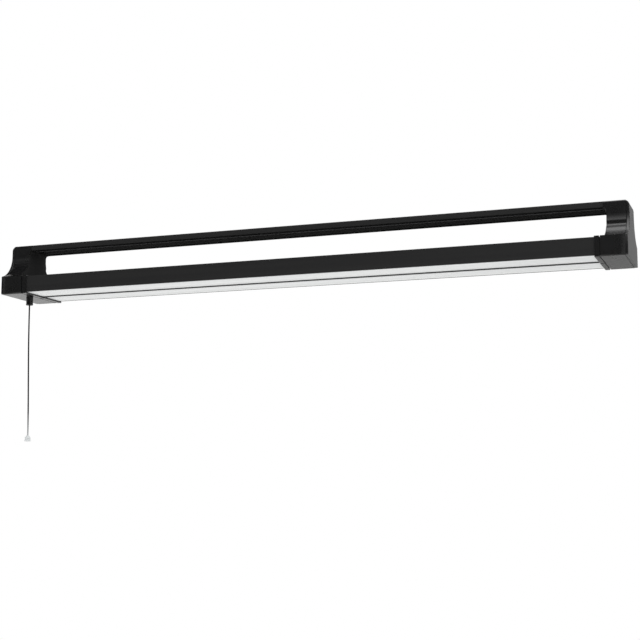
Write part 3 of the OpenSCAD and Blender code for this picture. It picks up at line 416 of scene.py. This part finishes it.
# %% Colours, nodes and links
def hex_colour(code):
    """A linear colour from an sRGB hex value."""
    parts = [int(code[i:i + 2], 16) / 255 for i in (1, 3, 5)]
    return tuple(c / 12.92 if c <= 0.04045 else ((c + 0.055) / 1.055) ** 2.4 for c in parts) + (1.0,)


def add(owner, kind, links=None, **settings):
    """Add one node: settings are its own choices, links its sockets, each with a value or an output."""
    node = owner.node_tree.nodes.new(kind)
    for name, value in settings.items():
        setattr(node, name, value)
    for name, value in (links or {}).items():
        if isinstance(value, bpy.types.NodeSocket):
            owner.node_tree.links.new(value, node.inputs[name])
        else:
            node.inputs[name].default_value = value
    return node


def join(owner, output, socket):
    """Link an output to a socket that exists already."""
    owner.node_tree.links.new(output, socket)


def finish(name, colour, roughness, metallic=0.0):
    """A new material and its shader, with what is the same all over set on the shader itself."""
    material = bpy.data.materials.new(name)
    material.use_nodes = True
    shader = material.node_tree.nodes["Principled BSDF"]
    shader.inputs["Base Color"].default_value = hex_colour(colour)
    shader.inputs["Roughness"].default_value = roughness
    shader.inputs["Metallic"].default_value = metallic
    return material, shader


print("a grey of #808080 is", round(hex_colour("#808080")[0], 4), "in linear light")

# %% [markdown]
# ## Moulded plastics
# A mould's walls are spark-eroded, which leaves a fine even grain and a satin surface. Flow in the mould
# clouds the colour and the gloss a little over some centimetres. Bump is enough for the grain, which is far
# too shallow to change an outline. Real grain is about 0.2 mm wide, too fine to show here, so it is drawn at
# 0.5 mm or more.

# %% A tool for moulded plastics
def moulded(name, colour, clouded, roughness, grain_mm=0.6, depth_mm=0.02, cloud_mm=25.0, specular=0.5):
    """Spark-eroded grain as bump, with a slow change of colour and gloss."""
    material, shader = finish(name, colour, roughness)
    shader.inputs["Specular IOR Level"].default_value = specular
    place = add(material, "ShaderNodeTexCoord").outputs["Object"]
    fine, coarse = 1 / (grain_mm * MM), 1 / (cloud_mm * MM)
    grain = add(material, "ShaderNodeTexNoise", {"Vector": place, "Scale": fine, "Detail": 2.0})
    cloud = add(material, "ShaderNodeTexNoise", {"Vector": place, "Scale": coarse, "Detail": 3.0})
    tint = add(material, "ShaderNodeMix",
               {0: cloud.outputs[0], 6: hex_colour(colour), 7: hex_colour(clouded)}, data_type="RGBA")
    gloss = add(material, "ShaderNodeMapRange", {"Value": cloud.outputs[0], "From Min": 0.3, "From Max": 0.7,
                                                 "To Min": roughness - 0.015, "To Max": roughness + 0.02})
    bump = add(material, "ShaderNodeBump", {"Height": grain.outputs[0], "Distance": depth_mm * MM})
    join(material, tint.outputs[2], shader.inputs["Base Color"])
    join(material, gloss.outputs[0], shader.inputs["Roughness"])
    join(material, bump.outputs[0], shader.inputs["Normal"])
    return material


# Satin black ABS: nearly black, and just smooth enough to mirror a dim outline of the room.
black_abs = moulded("satin black ABS", "#151515", "#171718", 0.28, grain_mm=0.9, depth_mm=0.008)
# Nylon 6: darker and duller than the caps' ABS, so the bushing stands out from the cap above it.
black_nylon = moulded("black nylon", "#0b0b0b", "#101011", 0.4, grain_mm=0.9, depth_mm=0.01, specular=0.3)
# Glossy polyamide of a mains socket: smooth walls that mirror their surroundings faintly.
socket_plastic = moulded("black socket polyamide", "#121213", "#171719", 0.26, grain_mm=1.2, depth_mm=0.006)
# Cream polyamide of a terminal strip, slightly yellow and waxy.
terminal_plastic = moulded("cream terminal polyamide", "#ded8c4", "#e9e4d4", 0.38, cloud_mm=8.0)
# Phenolic switch case: brown-black, dull, with a coarse fill that shows as grain.
switch_phenolic = moulded("black phenolic", "#1f1c1a", "#2a2623", 0.5, grain_mm=0.5, depth_mm=0.03,
                          cloud_mm=5.0)
# Acetal of the arm and drum: ivory, slippery and evenly lit.
ivory_acetal = moulded("ivory acetal", "#d6cfbb", "#e2dccb", 0.3, grain_mm=1.0, depth_mm=0.006, cloud_mm=6.0)
# Green lacquer on the earth screw: an even coat that pools slightly, so its gloss varies.
green_lacquer = moulded("green earth lacquer", "#2f7f3d", "#3b8f4a", 0.3, grain_mm=1.4, depth_mm=0.015,
                        cloud_mm=4.0)
print("moulded finishes ready")


# %% Wire sleeves
def pvc_sleeve(name, colour, clouded):
    """Extruded PVC: soft plastic, half glossy, whose colour varies a little along the wire."""
    return moulded(name, colour, clouded, 0.36, grain_mm=0.8, depth_mm=0.008, cloud_mm=9.0)


# The mains colours, which the eye tells apart at once, and red for the light circuit.
brown_pvc = pvc_sleeve("brown PVC sleeve", "#6a3f22", "#77492a")
blue_pvc = pvc_sleeve("blue PVC sleeve", "#27508f", "#305c9f")
red_pvc = pvc_sleeve("red PVC sleeve", "#9d2c20", "#ad372a")
print("sleeves ready")

# %% Inner faces of the caps
# Gives the eye dull black walls where the caps face each other. Slides in the mould form these, and they
# are eroded more coarsely than the faces that show most. Their colour, paler than the caps' ABS, is painted
# shading: it alone sets how light these walls look, because their low specular mirrors almost nothing.
coarse_abs_painted_shading = moulded("coarse black ABS with painted shading", "#242424", "#282828", 0.7, grain_mm=0.8, depth_mm=0.03,
                     specular=0.05)
print("inner finish ready")

# %% End covers
# Gives the eye a duller, greyer end face inside a rim as smooth as the cap. The mould's flat bottom is
# eroded more coarsely than its walls, and the change lies in the last millimetre of the lamp's length.
RIM_ROUGHNESS, FACE_ROUGHNESS = 0.28, 0.42
grained_abs = moulded("grained black ABS", "#171717", "#19191a", FACE_ROUGHNESS, grain_mm=0.9, depth_mm=0.01)
shader = grained_abs.node_tree.nodes["Principled BSDF"]
place = add(grained_abs, "ShaderNodeTexCoord").outputs["Object"]
parts = add(grained_abs, "ShaderNodeSeparateXYZ", {0: place})
outwards = add(grained_abs, "ShaderNodeMath", {0: parts.outputs[0]}, operation="ABSOLUTE")
coarse = add(grained_abs, "ShaderNodeMapRange",
             {"Value": outwards.outputs[0], "From Min": COVER_FACE - 0.8 * MM,
              "From Max": COVER_FACE - 0.1 * MM, "To Min": RIM_ROUGHNESS, "To Max": FACE_ROUGHNESS})
join(grained_abs, coarse.outputs[0], shader.inputs["Roughness"])
print("cover finish ready")

# %% [markdown]
# ## Black anodised aluminium
# Extruding draws fine lines along the bar, and the anodised layer over them is dark and satin. A wave
# texture would give even lines. Real ones vary, so they are noise that is stretched along the lamp. Real die
# lines are 0.1 to 0.3 mm apart and are drawn here at about 0.8 mm, so that a few of them show.

# %% A tool for streaks along the lamp
DIE_LINE = 0.8 * MM  # how far apart the drawn lines lie


def streaks_along(material, length, across, up, detail=3.0):
    """Noise whose marks have about this length along the lamp, and these sizes across it and upwards."""
    place = add(material, "ShaderNodeTexCoord").outputs["Object"]
    scale = (1 / length, 1 / across, 1 / up)
    stretched = add(material, "ShaderNodeMapping", {"Vector": place, "Scale": scale})
    noise = {"Vector": stretched.outputs[0], "Scale": 1.0, "Detail": detail}
    return add(material, "ShaderNodeTexNoise", noise).outputs[0]


print("die lines are drawn", DIE_LINE / MM, "mm apart")

# %% Anodised aluminium
# Gives the eye a deep, even charcoal with faint streaks. The dyed layer is a millimetre's fiftieth of
# glassy oxide that hides the metal, so it is no metal to the shader, and its tiny pores dull the gloss.
black_anodising, shader = finish("black anodised aluminium", "#1f1f20", roughness=0.6)
shader.inputs["Specular IOR Level"].default_value = 0.2
lines = streaks_along(black_anodising, 130 * MM, DIE_LINE, DIE_LINE)
bands = streaks_along(black_anodising, 600 * MM, 9 * MM, 9 * MM, detail=1.0)
tint = add(black_anodising, "ShaderNodeMix", {0: bands, 6: hex_colour("#1c1c1d"), 7: hex_colour("#242424")},
           data_type="RGBA")
gloss = add(black_anodising, "ShaderNodeMapRange", {"Value": lines, "From Min": 0.3, "From Max": 0.7,
                                                    "To Min": 0.54, "To Max": 0.66})
bump = add(black_anodising, "ShaderNodeBump", {"Height": lines, "Distance": 0.012 * MM})
join(black_anodising, tint.outputs[2], shader.inputs["Base Color"])
join(black_anodising, gloss.outputs[0], shader.inputs["Roughness"])
join(black_anodising, bump.outputs[0], shader.inputs["Normal"])
print("anodising ready")

# %% The rail's underside
# Gives the eye a dead black underside, as the photograph shows it, with only a hint of the die lines.
# Its colour, darker than the rest of the rail, is painted shade on the downward faces.
dull_anodising_painted_shade, shader = finish("dull black anodised aluminium, darkened as painted shade", "#0e0e0f", roughness=0.85)
shader.inputs["Specular IOR Level"].default_value = 0.05
lines = streaks_along(dull_anodising_painted_shade, 130 * MM, DIE_LINE, DIE_LINE)
tint = add(dull_anodising_painted_shade, "ShaderNodeMix", {0: lines, 6: hex_colour("#08080a"), 7: hex_colour("#131314")},
           data_type="RGBA")
join(dull_anodising_painted_shade, tint.outputs[2], shader.inputs["Base Color"])
print("dull anodising with painted shade ready")

# %% Painted highlight on the walls of the hook grooves
# Gives the eye a thin grey line along the rail's underside: a painted highlight, a paler colour on the
# grooves' inner walls where the light catches them.
groove_wall_highlight_paint, shader = finish("anodised aluminium with painted highlight", "#4a4a4b", roughness=0.6)
marks = streaks_along(groove_wall_highlight_paint, 50 * MM, DIE_LINE, DIE_LINE)
tint = add(groove_wall_highlight_paint, "ShaderNodeMix", {0: marks, 6: hex_colour("#3a3a3b"), 7: hex_colour("#58585a")},
           data_type="RGBA")
join(groove_wall_highlight_paint, tint.outputs[2], shader.inputs["Base Color"])
print("groove wall highlight ready")

# %% [markdown]
# ## Frosted acrylic
# The lenses are co-extruded: a clear acrylic strip with a milky layer and faint lengthwise ribs that spread
# the light. A see-through shader would show the boards behind, which the photograph doesn't. So the strip is
# an almost white one with soft grey streaks, some 3 mm apart.

# %% Acrylic
# Gives the eye a milky, slightly streaked strip with a dull shine.
frosted_acrylic, shader = finish("frosted acrylic", "#eef0f1", roughness=0.42)
shader.inputs["IOR"].default_value = 1.49
ribs = streaks_along(frosted_acrylic, 900 * MM, 3.2 * MM, 40 * MM, detail=2.0)
streaks = add(frosted_acrylic, "ShaderNodeMapRange", {"Value": ribs, "From Min": 0.35, "From Max": 0.65})
tint = add(frosted_acrylic, "ShaderNodeMix",
           {0: streaks.outputs[0], 6: hex_colour("#dcdee0"), 7: hex_colour("#f3f4f5")}, data_type="RGBA")
bump = add(frosted_acrylic, "ShaderNodeBump", {"Height": ribs, "Distance": 0.15 * MM})
join(frosted_acrylic, tint.outputs[2], shader.inputs["Base Color"])
join(frosted_acrylic, bump.outputs[0], shader.inputs["Normal"])
print("acrylic ready")

# %% [markdown]
# ## Braided polyester
# The cord's sleeve has eight strands each way. Modelled strands would cost hundreds of thousands of faces
# on a cord this thin, so two sets of waves run round it in opposite turns, and where one is high its strands
# lie on top. They read the cord's own UV map, so the braid keeps to it. A real strand crosses every 1.2 mm
# and is drawn at 1.6 mm. The last 50 mm fade to a pale grey, as in the photograph: painted light, standing
# in for the light that falls on the cord's tail above the knob.

# %% Braid
# Gives the eye a dull black cord with a fine crossing pattern and a pale tail of painted light.
STRANDS = 8.0
CROSSING = 1.6 * MM
TAIL_START, TAIL_END = 0.212, 0.262  # metres down the cord
black_braid, shader = finish("black braided polyester", "#0c0c0d", roughness=0.85)
shader.inputs["Specular IOR Level"].default_value = 0.05
along = add(black_braid, "ShaderNodeUVMap", uv_map="round_and_along")
parts = add(black_braid, "ShaderNodeSeparateXYZ", {0: along.outputs[0]})
turn = add(black_braid, "ShaderNodeMath", {0: parts.outputs[0], 1: STRANDS * math.tau}, operation="MULTIPLY")
rise = add(black_braid, "ShaderNodeMath", {0: parts.outputs[1], 1: math.tau / CROSSING}, operation="MULTIPLY")
left = add(black_braid, "ShaderNodeMath", {0: turn.outputs[0], 1: rise.outputs[0]}, operation="ADD")
right = add(black_braid, "ShaderNodeMath", {0: turn.outputs[0], 1: rise.outputs[0]}, operation="SUBTRACT")
left = add(black_braid, "ShaderNodeMath", {0: left.outputs[0]}, operation="SINE")
right = add(black_braid, "ShaderNodeMath", {0: right.outputs[0]}, operation="SINE")
strands = add(black_braid, "ShaderNodeMath", {0: left.outputs[0], 1: right.outputs[0]}, operation="MAXIMUM")
light = add(black_braid, "ShaderNodeMapRange",
            {"Value": strands.outputs[0], "From Min": -0.6, "From Max": 1.0})
sleeve = add(black_braid, "ShaderNodeMix",
             {0: light.outputs[0], 6: hex_colour("#040404"), 7: hex_colour("#121213")}, data_type="RGBA")
# Painted light: the last 50 mm of the cord are mixed towards a pale grey.
tail = add(black_braid, "ShaderNodeMapRange",
           {"Value": parts.outputs[1], "From Min": TAIL_START, "From Max": TAIL_END})
painted_light_tail = add(black_braid, "ShaderNodeMix", {0: tail.outputs[0], 6: sleeve.outputs[2], 7: hex_colour("#b4b5b6")},
           data_type="RGBA")
bump = add(black_braid, "ShaderNodeBump", {"Height": strands.outputs[0], "Distance": 0.08 * MM})
join(black_braid, painted_light_tail.outputs[2], shader.inputs["Base Color"])
join(black_braid, bump.outputs[0], shader.inputs["Normal"])
print("braid ready")

# %% Milky knob plastic
# Gives the eye a small pale bell that lets some light through and shines softly on its shoulder.
milky_plastic = moulded("milky polypropylene", "#c9cccd", "#d9dcdd", 0.34, grain_mm=1.5, depth_mm=0.02,
                        cloud_mm=3.5)
shader = milky_plastic.node_tree.nodes["Principled BSDF"]
shader.inputs["Subsurface Weight"].default_value = 0.35
shader.inputs["Subsurface Scale"].default_value = 0.002
shader.inputs["Subsurface Radius"].default_value = (1.0, 1.0, 1.0)
print("milky plastic ready")

# %% [markdown]
# ## Enamel, boards and chips
# The gear trays are sheet steel with a white powder coat, whose surface has the slight waves of orange peel,
# about 2 mm apart. The light boards are aluminium under white solder mask, and the copper strips below
# show as faint rectangles. Each light chip is a white frame round a patch of yellow phosphor. Strips and
# chips repeat evenly, so a brick pattern and a little arithmetic on the coordinates draw them, where a
# painted map would need a file.

# %% White enamel
# Gives the eye a bright coat with soft, slightly rippled highlights.
white_enamel, shader = finish("white powder coat", "#e6e6e2", roughness=0.3)
place = add(white_enamel, "ShaderNodeTexCoord").outputs["Object"]
peel = add(white_enamel, "ShaderNodeTexNoise", {"Vector": place, "Scale": 1 / (2 * MM), "Detail": 1.0})
tint = add(white_enamel, "ShaderNodeMix",
           {0: peel.outputs[0], 6: hex_colour("#dfdfda"), 7: hex_colour("#ecece8")}, data_type="RGBA")
bump = add(white_enamel, "ShaderNodeBump", {"Height": peel.outputs[0], "Distance": 0.03 * MM})
join(white_enamel, tint.outputs[2], shader.inputs["Base Color"])
join(white_enamel, bump.outputs[0], shader.inputs["Normal"])
print("enamel ready")


# %% Circuit boards
def circuit_board(name, mask, copper, strip_mm, row_mm):
    """Solder mask over copper strips, which show through as paler rectangles with thin gaps."""
    material, shader = finish(name, mask, roughness=0.35)
    place = add(material, "ShaderNodeTexCoord").outputs["Object"]
    strips = add(material, "ShaderNodeTexBrick",
                 {"Vector": place, "Color1": hex_colour(copper), "Color2": hex_colour(copper),
                  "Mortar": hex_colour(mask), "Scale": 1.0, "Mortar Size": 0.4 * MM,
                  "Brick Width": strip_mm * MM, "Row Height": row_mm * MM})
    bump = add(material, "ShaderNodeBump", {"Height": strips.outputs["Fac"], "Distance": -0.035 * MM})
    join(material, strips.outputs["Color"], shader.inputs["Base Color"])
    join(material, bump.outputs[0], shader.inputs["Normal"])
    return material


# White mask: a clean, dull white that throws the chips' light down.
white_board = circuit_board("white solder mask", "#dcded9", "#e6e7e2", 30.0, 7.0)
# Green mask on glass fibre, as on any driver board: dark green with paler tracks.
green_board = circuit_board("green solder mask", "#1c4a2b", "#2a6a3c", 9.0, 2.2)
print("boards ready")

# %% Light chips
# Gives the eye a pale square with a yellow centre, every 30 mm along each board.
CHIP_PITCH = 30 * MM
CENTRE_HALF_LENGTH = 1.2 * MM
CENTRE_HALF_WIDTH = 0.95 * MM
BOARD_MIDDLE = sum(corner.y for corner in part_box("rear_light_board")) / 2
phosphor, shader = finish("phosphor chip", "#f0eee6", roughness=0.4)
place = add(phosphor, "ShaderNodeTexCoord").outputs["Object"]
parts = add(phosphor, "ShaderNodeSeparateXYZ", {0: place})
step = add(phosphor, "ShaderNodeMath", {0: parts.outputs[0], 1: 1 / CHIP_PITCH}, operation="MULTIPLY")
step = add(phosphor, "ShaderNodeMath", {0: step.outputs[0]}, operation="FRACT")
step = add(phosphor, "ShaderNodeMath", {0: step.outputs[0], 1: 0.5}, operation="SUBTRACT")
step = add(phosphor, "ShaderNodeMath", {0: step.outputs[0]}, operation="ABSOLUTE")
inside_x = add(phosphor, "ShaderNodeMath", {0: step.outputs[0], 1: CENTRE_HALF_LENGTH / CHIP_PITCH},
               operation="LESS_THAN")
aside = add(phosphor, "ShaderNodeMath", {0: parts.outputs[1]}, operation="ABSOLUTE")
aside = add(phosphor, "ShaderNodeMath", {0: aside.outputs[0], 1: BOARD_MIDDLE}, operation="SUBTRACT")
aside = add(phosphor, "ShaderNodeMath", {0: aside.outputs[0]}, operation="ABSOLUTE")
inside_y = add(phosphor, "ShaderNodeMath", {0: aside.outputs[0], 1: CENTRE_HALF_WIDTH}, operation="LESS_THAN")
centre = add(phosphor, "ShaderNodeMath", {0: inside_x.outputs[0], 1: inside_y.outputs[0]},
             operation="MULTIPLY")
tint = add(phosphor, "ShaderNodeMix",
           {0: centre.outputs[0], 6: hex_colour("#f0eee6"), 7: hex_colour("#e2c62f")}, data_type="RGBA")
join(phosphor, tint.outputs[2], shader.inputs["Base Color"])
print("chips ready")

# %% [markdown]
# ## Bare and plated metals
# Zinc plating on screws is bluish grey with a fine dull bloom, and hot zinc on sheet steel has crystals
# some 6 mm across. Brass contacts are stamped, with small rolling marks. Spring wire is drawn, dark and
# bright. Cells of a Voronoi texture can be all of these marks, with a size that suits each metal.

# %% A tool for plated and bare metals
def bare_metal(name, colour, other, roughness, crystal_mm, depth_mm):
    """Crystals or rolling marks as cells of slightly different colour and gloss."""
    material, shader = finish(name, colour, roughness, metallic=1.0)
    place = add(material, "ShaderNodeTexCoord").outputs["Object"]
    cells = add(material, "ShaderNodeTexVoronoi", {"Vector": place, "Scale": 1 / (crystal_mm * MM)})
    shade = add(material, "ShaderNodeSeparateColor", {0: cells.outputs["Color"]})
    tint = add(material, "ShaderNodeMix", {0: shade.outputs[0], 6: hex_colour(colour), 7: hex_colour(other)},
               data_type="RGBA")
    gloss = add(material, "ShaderNodeMapRange",
                {"Value": shade.outputs[1], "To Min": roughness - 0.06, "To Max": roughness + 0.08})
    bump = add(material, "ShaderNodeBump", {"Height": cells.outputs["Distance"], "Distance": depth_mm * MM})
    join(material, tint.outputs[2], shader.inputs["Base Color"])
    join(material, gloss.outputs[0], shader.inputs["Roughness"])
    join(material, bump.outputs[0], shader.inputs["Normal"])
    return material


# Galvanised sheet of the driver's box: a patchwork of grey crystals.
galvanised_sheet = bare_metal("galvanised steel sheet", "#a9adb1", "#c3c7ca", 0.38, 6.0, 0.01)
# Bright zinc on small screws: an even, slightly blue grey.
zinc_screws = bare_metal("zinc plated steel", "#b3b7bb", "#c0c4c8", 0.3, 0.6, 0.004)
# Stamped brass: warm yellow, a little dull from handling.
stamped_brass = bare_metal("stamped brass", "#c9a44c", "#d6b360", 0.28, 1.2, 0.003)
# Drawn spring wire: darker than zinc and smooth.
spring_wire = bare_metal("drawn spring steel", "#8f9296", "#a2a5a8", 0.24, 0.5, 0.002)
print("metals ready")

# %% Wound components
# Gives the eye dark varnished windings with copper gleaming through, 0.8 mm apart.
WAVE_UNIT = 2.5 * MM  # a Wave texture's upright bands repeat after about a third of its unit
wound_parts, shader = finish("varnished windings", "#2d241a", roughness=0.35)
place = add(wound_parts, "ShaderNodeTexCoord").outputs["Object"]
turns = add(wound_parts, "ShaderNodeTexWave",
            {"Vector": place, "Scale": 1 / WAVE_UNIT, "Distortion": 1.0}, bands_direction="Z")
tint = add(wound_parts, "ShaderNodeMix",
           {0: turns.outputs["Fac"], 6: hex_colour("#211b15"), 7: hex_colour("#5a3a20")}, data_type="RGBA")
bump = add(wound_parts, "ShaderNodeBump", {"Height": turns.outputs["Fac"], "Distance": 0.1 * MM})
join(wound_parts, tint.outputs[2], shader.inputs["Base Color"])
join(wound_parts, bump.outputs[0], shader.inputs["Normal"])
print("windings ready")

# %% The cord's hidden stretch
# Gives the eye plain slanting ribs, 1.6 mm apart along the cord, as it has no UV map for a braid.
cord_sleeve, shader = finish("black cord sleeve", "#1a1a1b", roughness=0.75)
place = add(cord_sleeve, "ShaderNodeTexCoord").outputs["Object"]
ribs = add(cord_sleeve, "ShaderNodeTexWave",
           {"Vector": place, "Scale": 1 / WAVE_UNIT, "Distortion": 0.5}, bands_direction="DIAGONAL")
tint = add(cord_sleeve, "ShaderNodeMix",
           {0: ribs.outputs["Fac"], 6: hex_colour("#0c0c0d"), 7: hex_colour("#242425")}, data_type="RGBA")
join(cord_sleeve, tint.outputs[2], shader.inputs["Base Color"])
print("hidden cord ready")

# %% [markdown]
# ## Give every piece its finish
# Each piece could get its finish where it is made, but one table shows at a glance what the lamp is made of.
# Nodes that are hidden inside keep their CAD mesh and only change their material, so the lamp is right also
# where a cap is taken off.

# %% The table of finishes
finish_of = {
    "housing": black_anodising, "top_rail": black_anodising, "left_cap": black_abs, "right_cap": black_abs,
    "left_collar": black_abs, "right_collar": black_abs, "left_end_cover": grained_abs,
    "right_end_cover": grained_abs, "front_lens": frosted_acrylic, "rear_lens": frosted_acrylic,
    "front_tray": white_enamel, "rear_tray": white_enamel, "front_light_board": white_board,
    "rear_light_board": white_board, "front_light_chips": phosphor, "rear_light_chips": phosphor,
    "board_screws": zinc_screws, "driver_case": galvanised_sheet, "driver_lid": galvanised_sheet,
    "driver_board": green_board, "driver_parts": wound_parts, "driver_screws": zinc_screws,
    "terminal_block": terminal_plastic, "terminal_screws": stamped_brass, "earth_screw": green_lacquer,
    "power_inlet": socket_plastic, "inlet_pins": stamped_brass, "mains_wires": brown_pvc,
    "driver_wires": blue_pvc, "light_wires": red_pvc, "switch_case": switch_phenolic,
    "switch_lid": switch_phenolic, "switch_bushing": black_nylon, "switch_arm": ivory_acetal,
    "switch_pivot": zinc_screws, "switch_drum": ivory_acetal, "contact_band": stamped_brass,
    "switch_contacts": stamped_brass, "return_spring": spring_wire, "cord_bead": stamped_brass,
    "cord_stub": cord_sleeve, "pull_cord": black_braid, "pull_knob": milky_plastic,
    "cap_screws": zinc_screws, "rail_screws": zinc_screws,
}
stand_in = {node: piece for piece in bpy.data.objects for node in piece.get("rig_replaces", [])}
for node, material in finish_of.items():
    if node in stand_in:
        stand_in[node].data.materials.clear()
        stand_in[node].data.materials.append(material)
    else:
        nodes[node].material_slots[0].material = material
print("finished:", len(finish_of), "nodes, of which remade:", len(stand_in))

# %% [markdown]
# ## A second finish on some faces
# Some faces of one piece are finished otherwise: the caps' inner walls, the rail's underside and the inner
# walls of its hook grooves. Their colours paint light and shade: the caps' inner walls are painted paler,
# the underside darker, and the groove walls carry a painted highlight. Cutting the piece apart would break
# the moulding, so such faces get a material slot of their own. They are picked by their place and by where
# they face.

# %% Other faces
GROOVE_WALL = 14 * MM  # half the distance between the grooves' inner walls
LEANING = 0.3  # a face leans towards an axis where its normal has at least this much of it


def faces_get(node, material, test):
    """Give those faces of a node's stand-in for which the test holds a further material."""
    piece = stand_in[node]
    only(piece)
    piece.data.materials.append(material)
    bpy.ops.object.mode_set(mode="EDIT")
    found = pick("FACE", test)
    piece.active_material_index = len(piece.data.materials) - 1
    bpy.ops.object.material_slot_assign()
    bpy.ops.object.mode_set(mode="OBJECT")
    print(piece.name, "faces with", material.name + ":", found)


def faces_inwards(face):
    """True for a cap's faces towards the lamp's middle, with the rounding under the block."""
    middle = face.calc_center_median()
    inner = abs(middle.x) < COLUMN_FACE + 0.6 * MM and middle.z > BOX_TOP
    return inner and (abs(face.normal.x) > LEANING or face.normal.z < -LEANING)


def on_groove_wall(face):
    """True for the two upright walls of the hook grooves that lie nearer the rail's middle."""
    middle = face.calc_center_median()
    beside = abs(abs(middle.y) - GROOVE_WALL) < 0.4 * MM and abs(face.normal.y) > 0.6
    return beside and middle.z < RAIL_UNDER + 2 * MM


faces_get("left_cap", coarse_abs_painted_shading, faces_inwards)
faces_get("right_cap", coarse_abs_painted_shading, faces_inwards)
faces_get("top_rail", dull_anodising_painted_shade, lambda face: face.normal.z < -0.8)
faces_get("top_rail", groove_wall_highlight_paint, on_groove_wall)

# %% [markdown]
# ## Floor, light and background
# The lamp hangs in a plain white studio. A curved backdrop would look well from one side only. So the world
# is white where the camera, a reflection or a see-through ray looks at it, and a little weaker for the light
# that falls on the lamp. The pale floor lies so far below that a camera under the lamp still stands over it,
# and it fades into the white further out, so that no horizon shows. One soft lamp overhead, to the right,
# puts the glow on the flare of the right cap.

# %% World
world = bpy.data.worlds.new("studio_white")
bpy.context.scene.world = world
world.use_nodes = True
world.node_tree.nodes.clear()
rays = add(world, "ShaderNodeLightPath")
seen = add(world, "ShaderNodeMath", {0: rays.outputs["Is Camera Ray"], 1: rays.outputs["Is Glossy Ray"]},
           operation="MAXIMUM")
seen = add(world, "ShaderNodeMath", {0: seen.outputs[0], 1: rays.outputs["Is Transmission Ray"]},
           operation="MAXIMUM")
soft = add(world, "ShaderNodeBackground", {"Color": hex_colour("#ffffff"), "Strength": 0.97})
white = add(world, "ShaderNodeBackground", {"Color": hex_colour("#ffffff"), "Strength": 1.0})
both = add(world, "ShaderNodeMixShader", {0: seen.outputs[0], 1: soft.outputs[0], 2: white.outputs[0]})
add(world, "ShaderNodeOutputWorld", {"Surface": both.outputs[0]})
print("world ready")

# %% Floor
FLOOR_HEIGHT, FLOOR_RADIUS = -3.0, 13.0
FADE_START, FADE_END = 4.6, 10.5
bpy.ops.object.select_all(action="DESELECT")
bpy.ops.mesh.primitive_circle_add(vertices=64, radius=FLOOR_RADIUS, fill_type="NGON",
                                  location=(0, 0, FLOOR_HEIGHT))
floor = bpy.context.object
floor.name = "studio_floor"
bpy.ops.object.transform_apply(location=True, rotation=True, scale=True)
floor_paper, shader = finish("pale paper floor", "#f2f2f0", roughness=0.8)
place = add(floor_paper, "ShaderNodeTexCoord")
from_middle = add(floor_paper, "ShaderNodeVectorMath", {0: place.outputs["Object"]}, operation="LENGTH")
faded = add(floor_paper, "ShaderNodeMapRange",
            {"Value": from_middle.outputs["Value"], "From Min": FADE_START, "From Max": FADE_END})
rays = add(floor_paper, "ShaderNodeLightPath")
glow = add(floor_paper, "ShaderNodeMath", {0: faded.outputs[0], 1: rays.outputs["Is Camera Ray"]},
           operation="MULTIPLY")
bright = add(floor_paper, "ShaderNodeEmission", {"Color": hex_colour("#ffffff"), "Strength": 1.0})
mixed = add(floor_paper, "ShaderNodeMixShader",
            {0: glow.outputs[0], 1: shader.outputs[0], 2: bright.outputs[0]})
join(floor_paper, mixed.outputs[0], floor_paper.node_tree.nodes["Material Output"].inputs["Surface"])
floor.data.materials.append(floor_paper)
print("floor at", FLOOR_HEIGHT, "m")

# %% Overhead lamp
overhead_light = bpy.data.lights.new("overhead_softbox", "AREA")
overhead_light.shape = "RECTANGLE"
overhead_light.size = 1.4
overhead_light.size_y = 3.1
overhead_light.energy = 28.0
overhead = bpy.data.objects.new("overhead_softbox", overhead_light)
overhead.location = (0.55, -0.3, 1.75)
bpy.context.scene.collection.objects.link(overhead)
print("overhead lamp:", overhead_light.energy, "W")

# %% [markdown]
# ## Dark flags
# The fronts of the lamp are almost black in the photograph, though the room is white: a studio hangs black
# flags round shiny black products, so that they mirror them. Darker materials would lose the glow on the
# flares and undersides, which mirror the white between the flags. Two hang in front, one lies overhead at
# the left, and two stand behind, a low one and one at the right. Only reflections see them.

# %% Flags
flag_cloth, shader = finish("black flag cloth", "#040404", roughness=1.0)
shader.inputs["Specular IOR Level"].default_value = 0.0
UPRIGHT, FLAT = math.pi / 2, 0.0
for name, place, turn, size in (("flag_in_front", (-1.75, -3.1, 0.45), UPRIGHT, (5.5, 2.4)),
                                ("flag_at_right", (3.0, -3.1, 0.45), UPRIGHT, (2.8, 2.4)),
                                ("flag_low", (0.35, 4.0, -1.0), UPRIGHT, (1.7, 0.65)),
                                ("flag_overhead", (-2.75, -0.55, 2.0), FLAT, (4.5, 5.1)),
                                ("flag_behind", (3.4, 3.2, 1.0), UPRIGHT, (3.4, 4.0))):
    bpy.ops.object.select_all(action="DESELECT")
    bpy.ops.mesh.primitive_plane_add(size=1.0, location=place, rotation=(turn, 0, 0))
    flag = bpy.context.object
    flag.name = name
    flag.scale = (size[0], size[1], 1.0)
    bpy.ops.object.transform_apply(location=True, rotation=True, scale=True)
    flag.visible_camera = False
    flag.visible_diffuse = False
    flag.visible_transmission = False
    flag.visible_shadow = False
    flag.data.materials.append(flag_cloth)
    print(name, "is", size, "m")
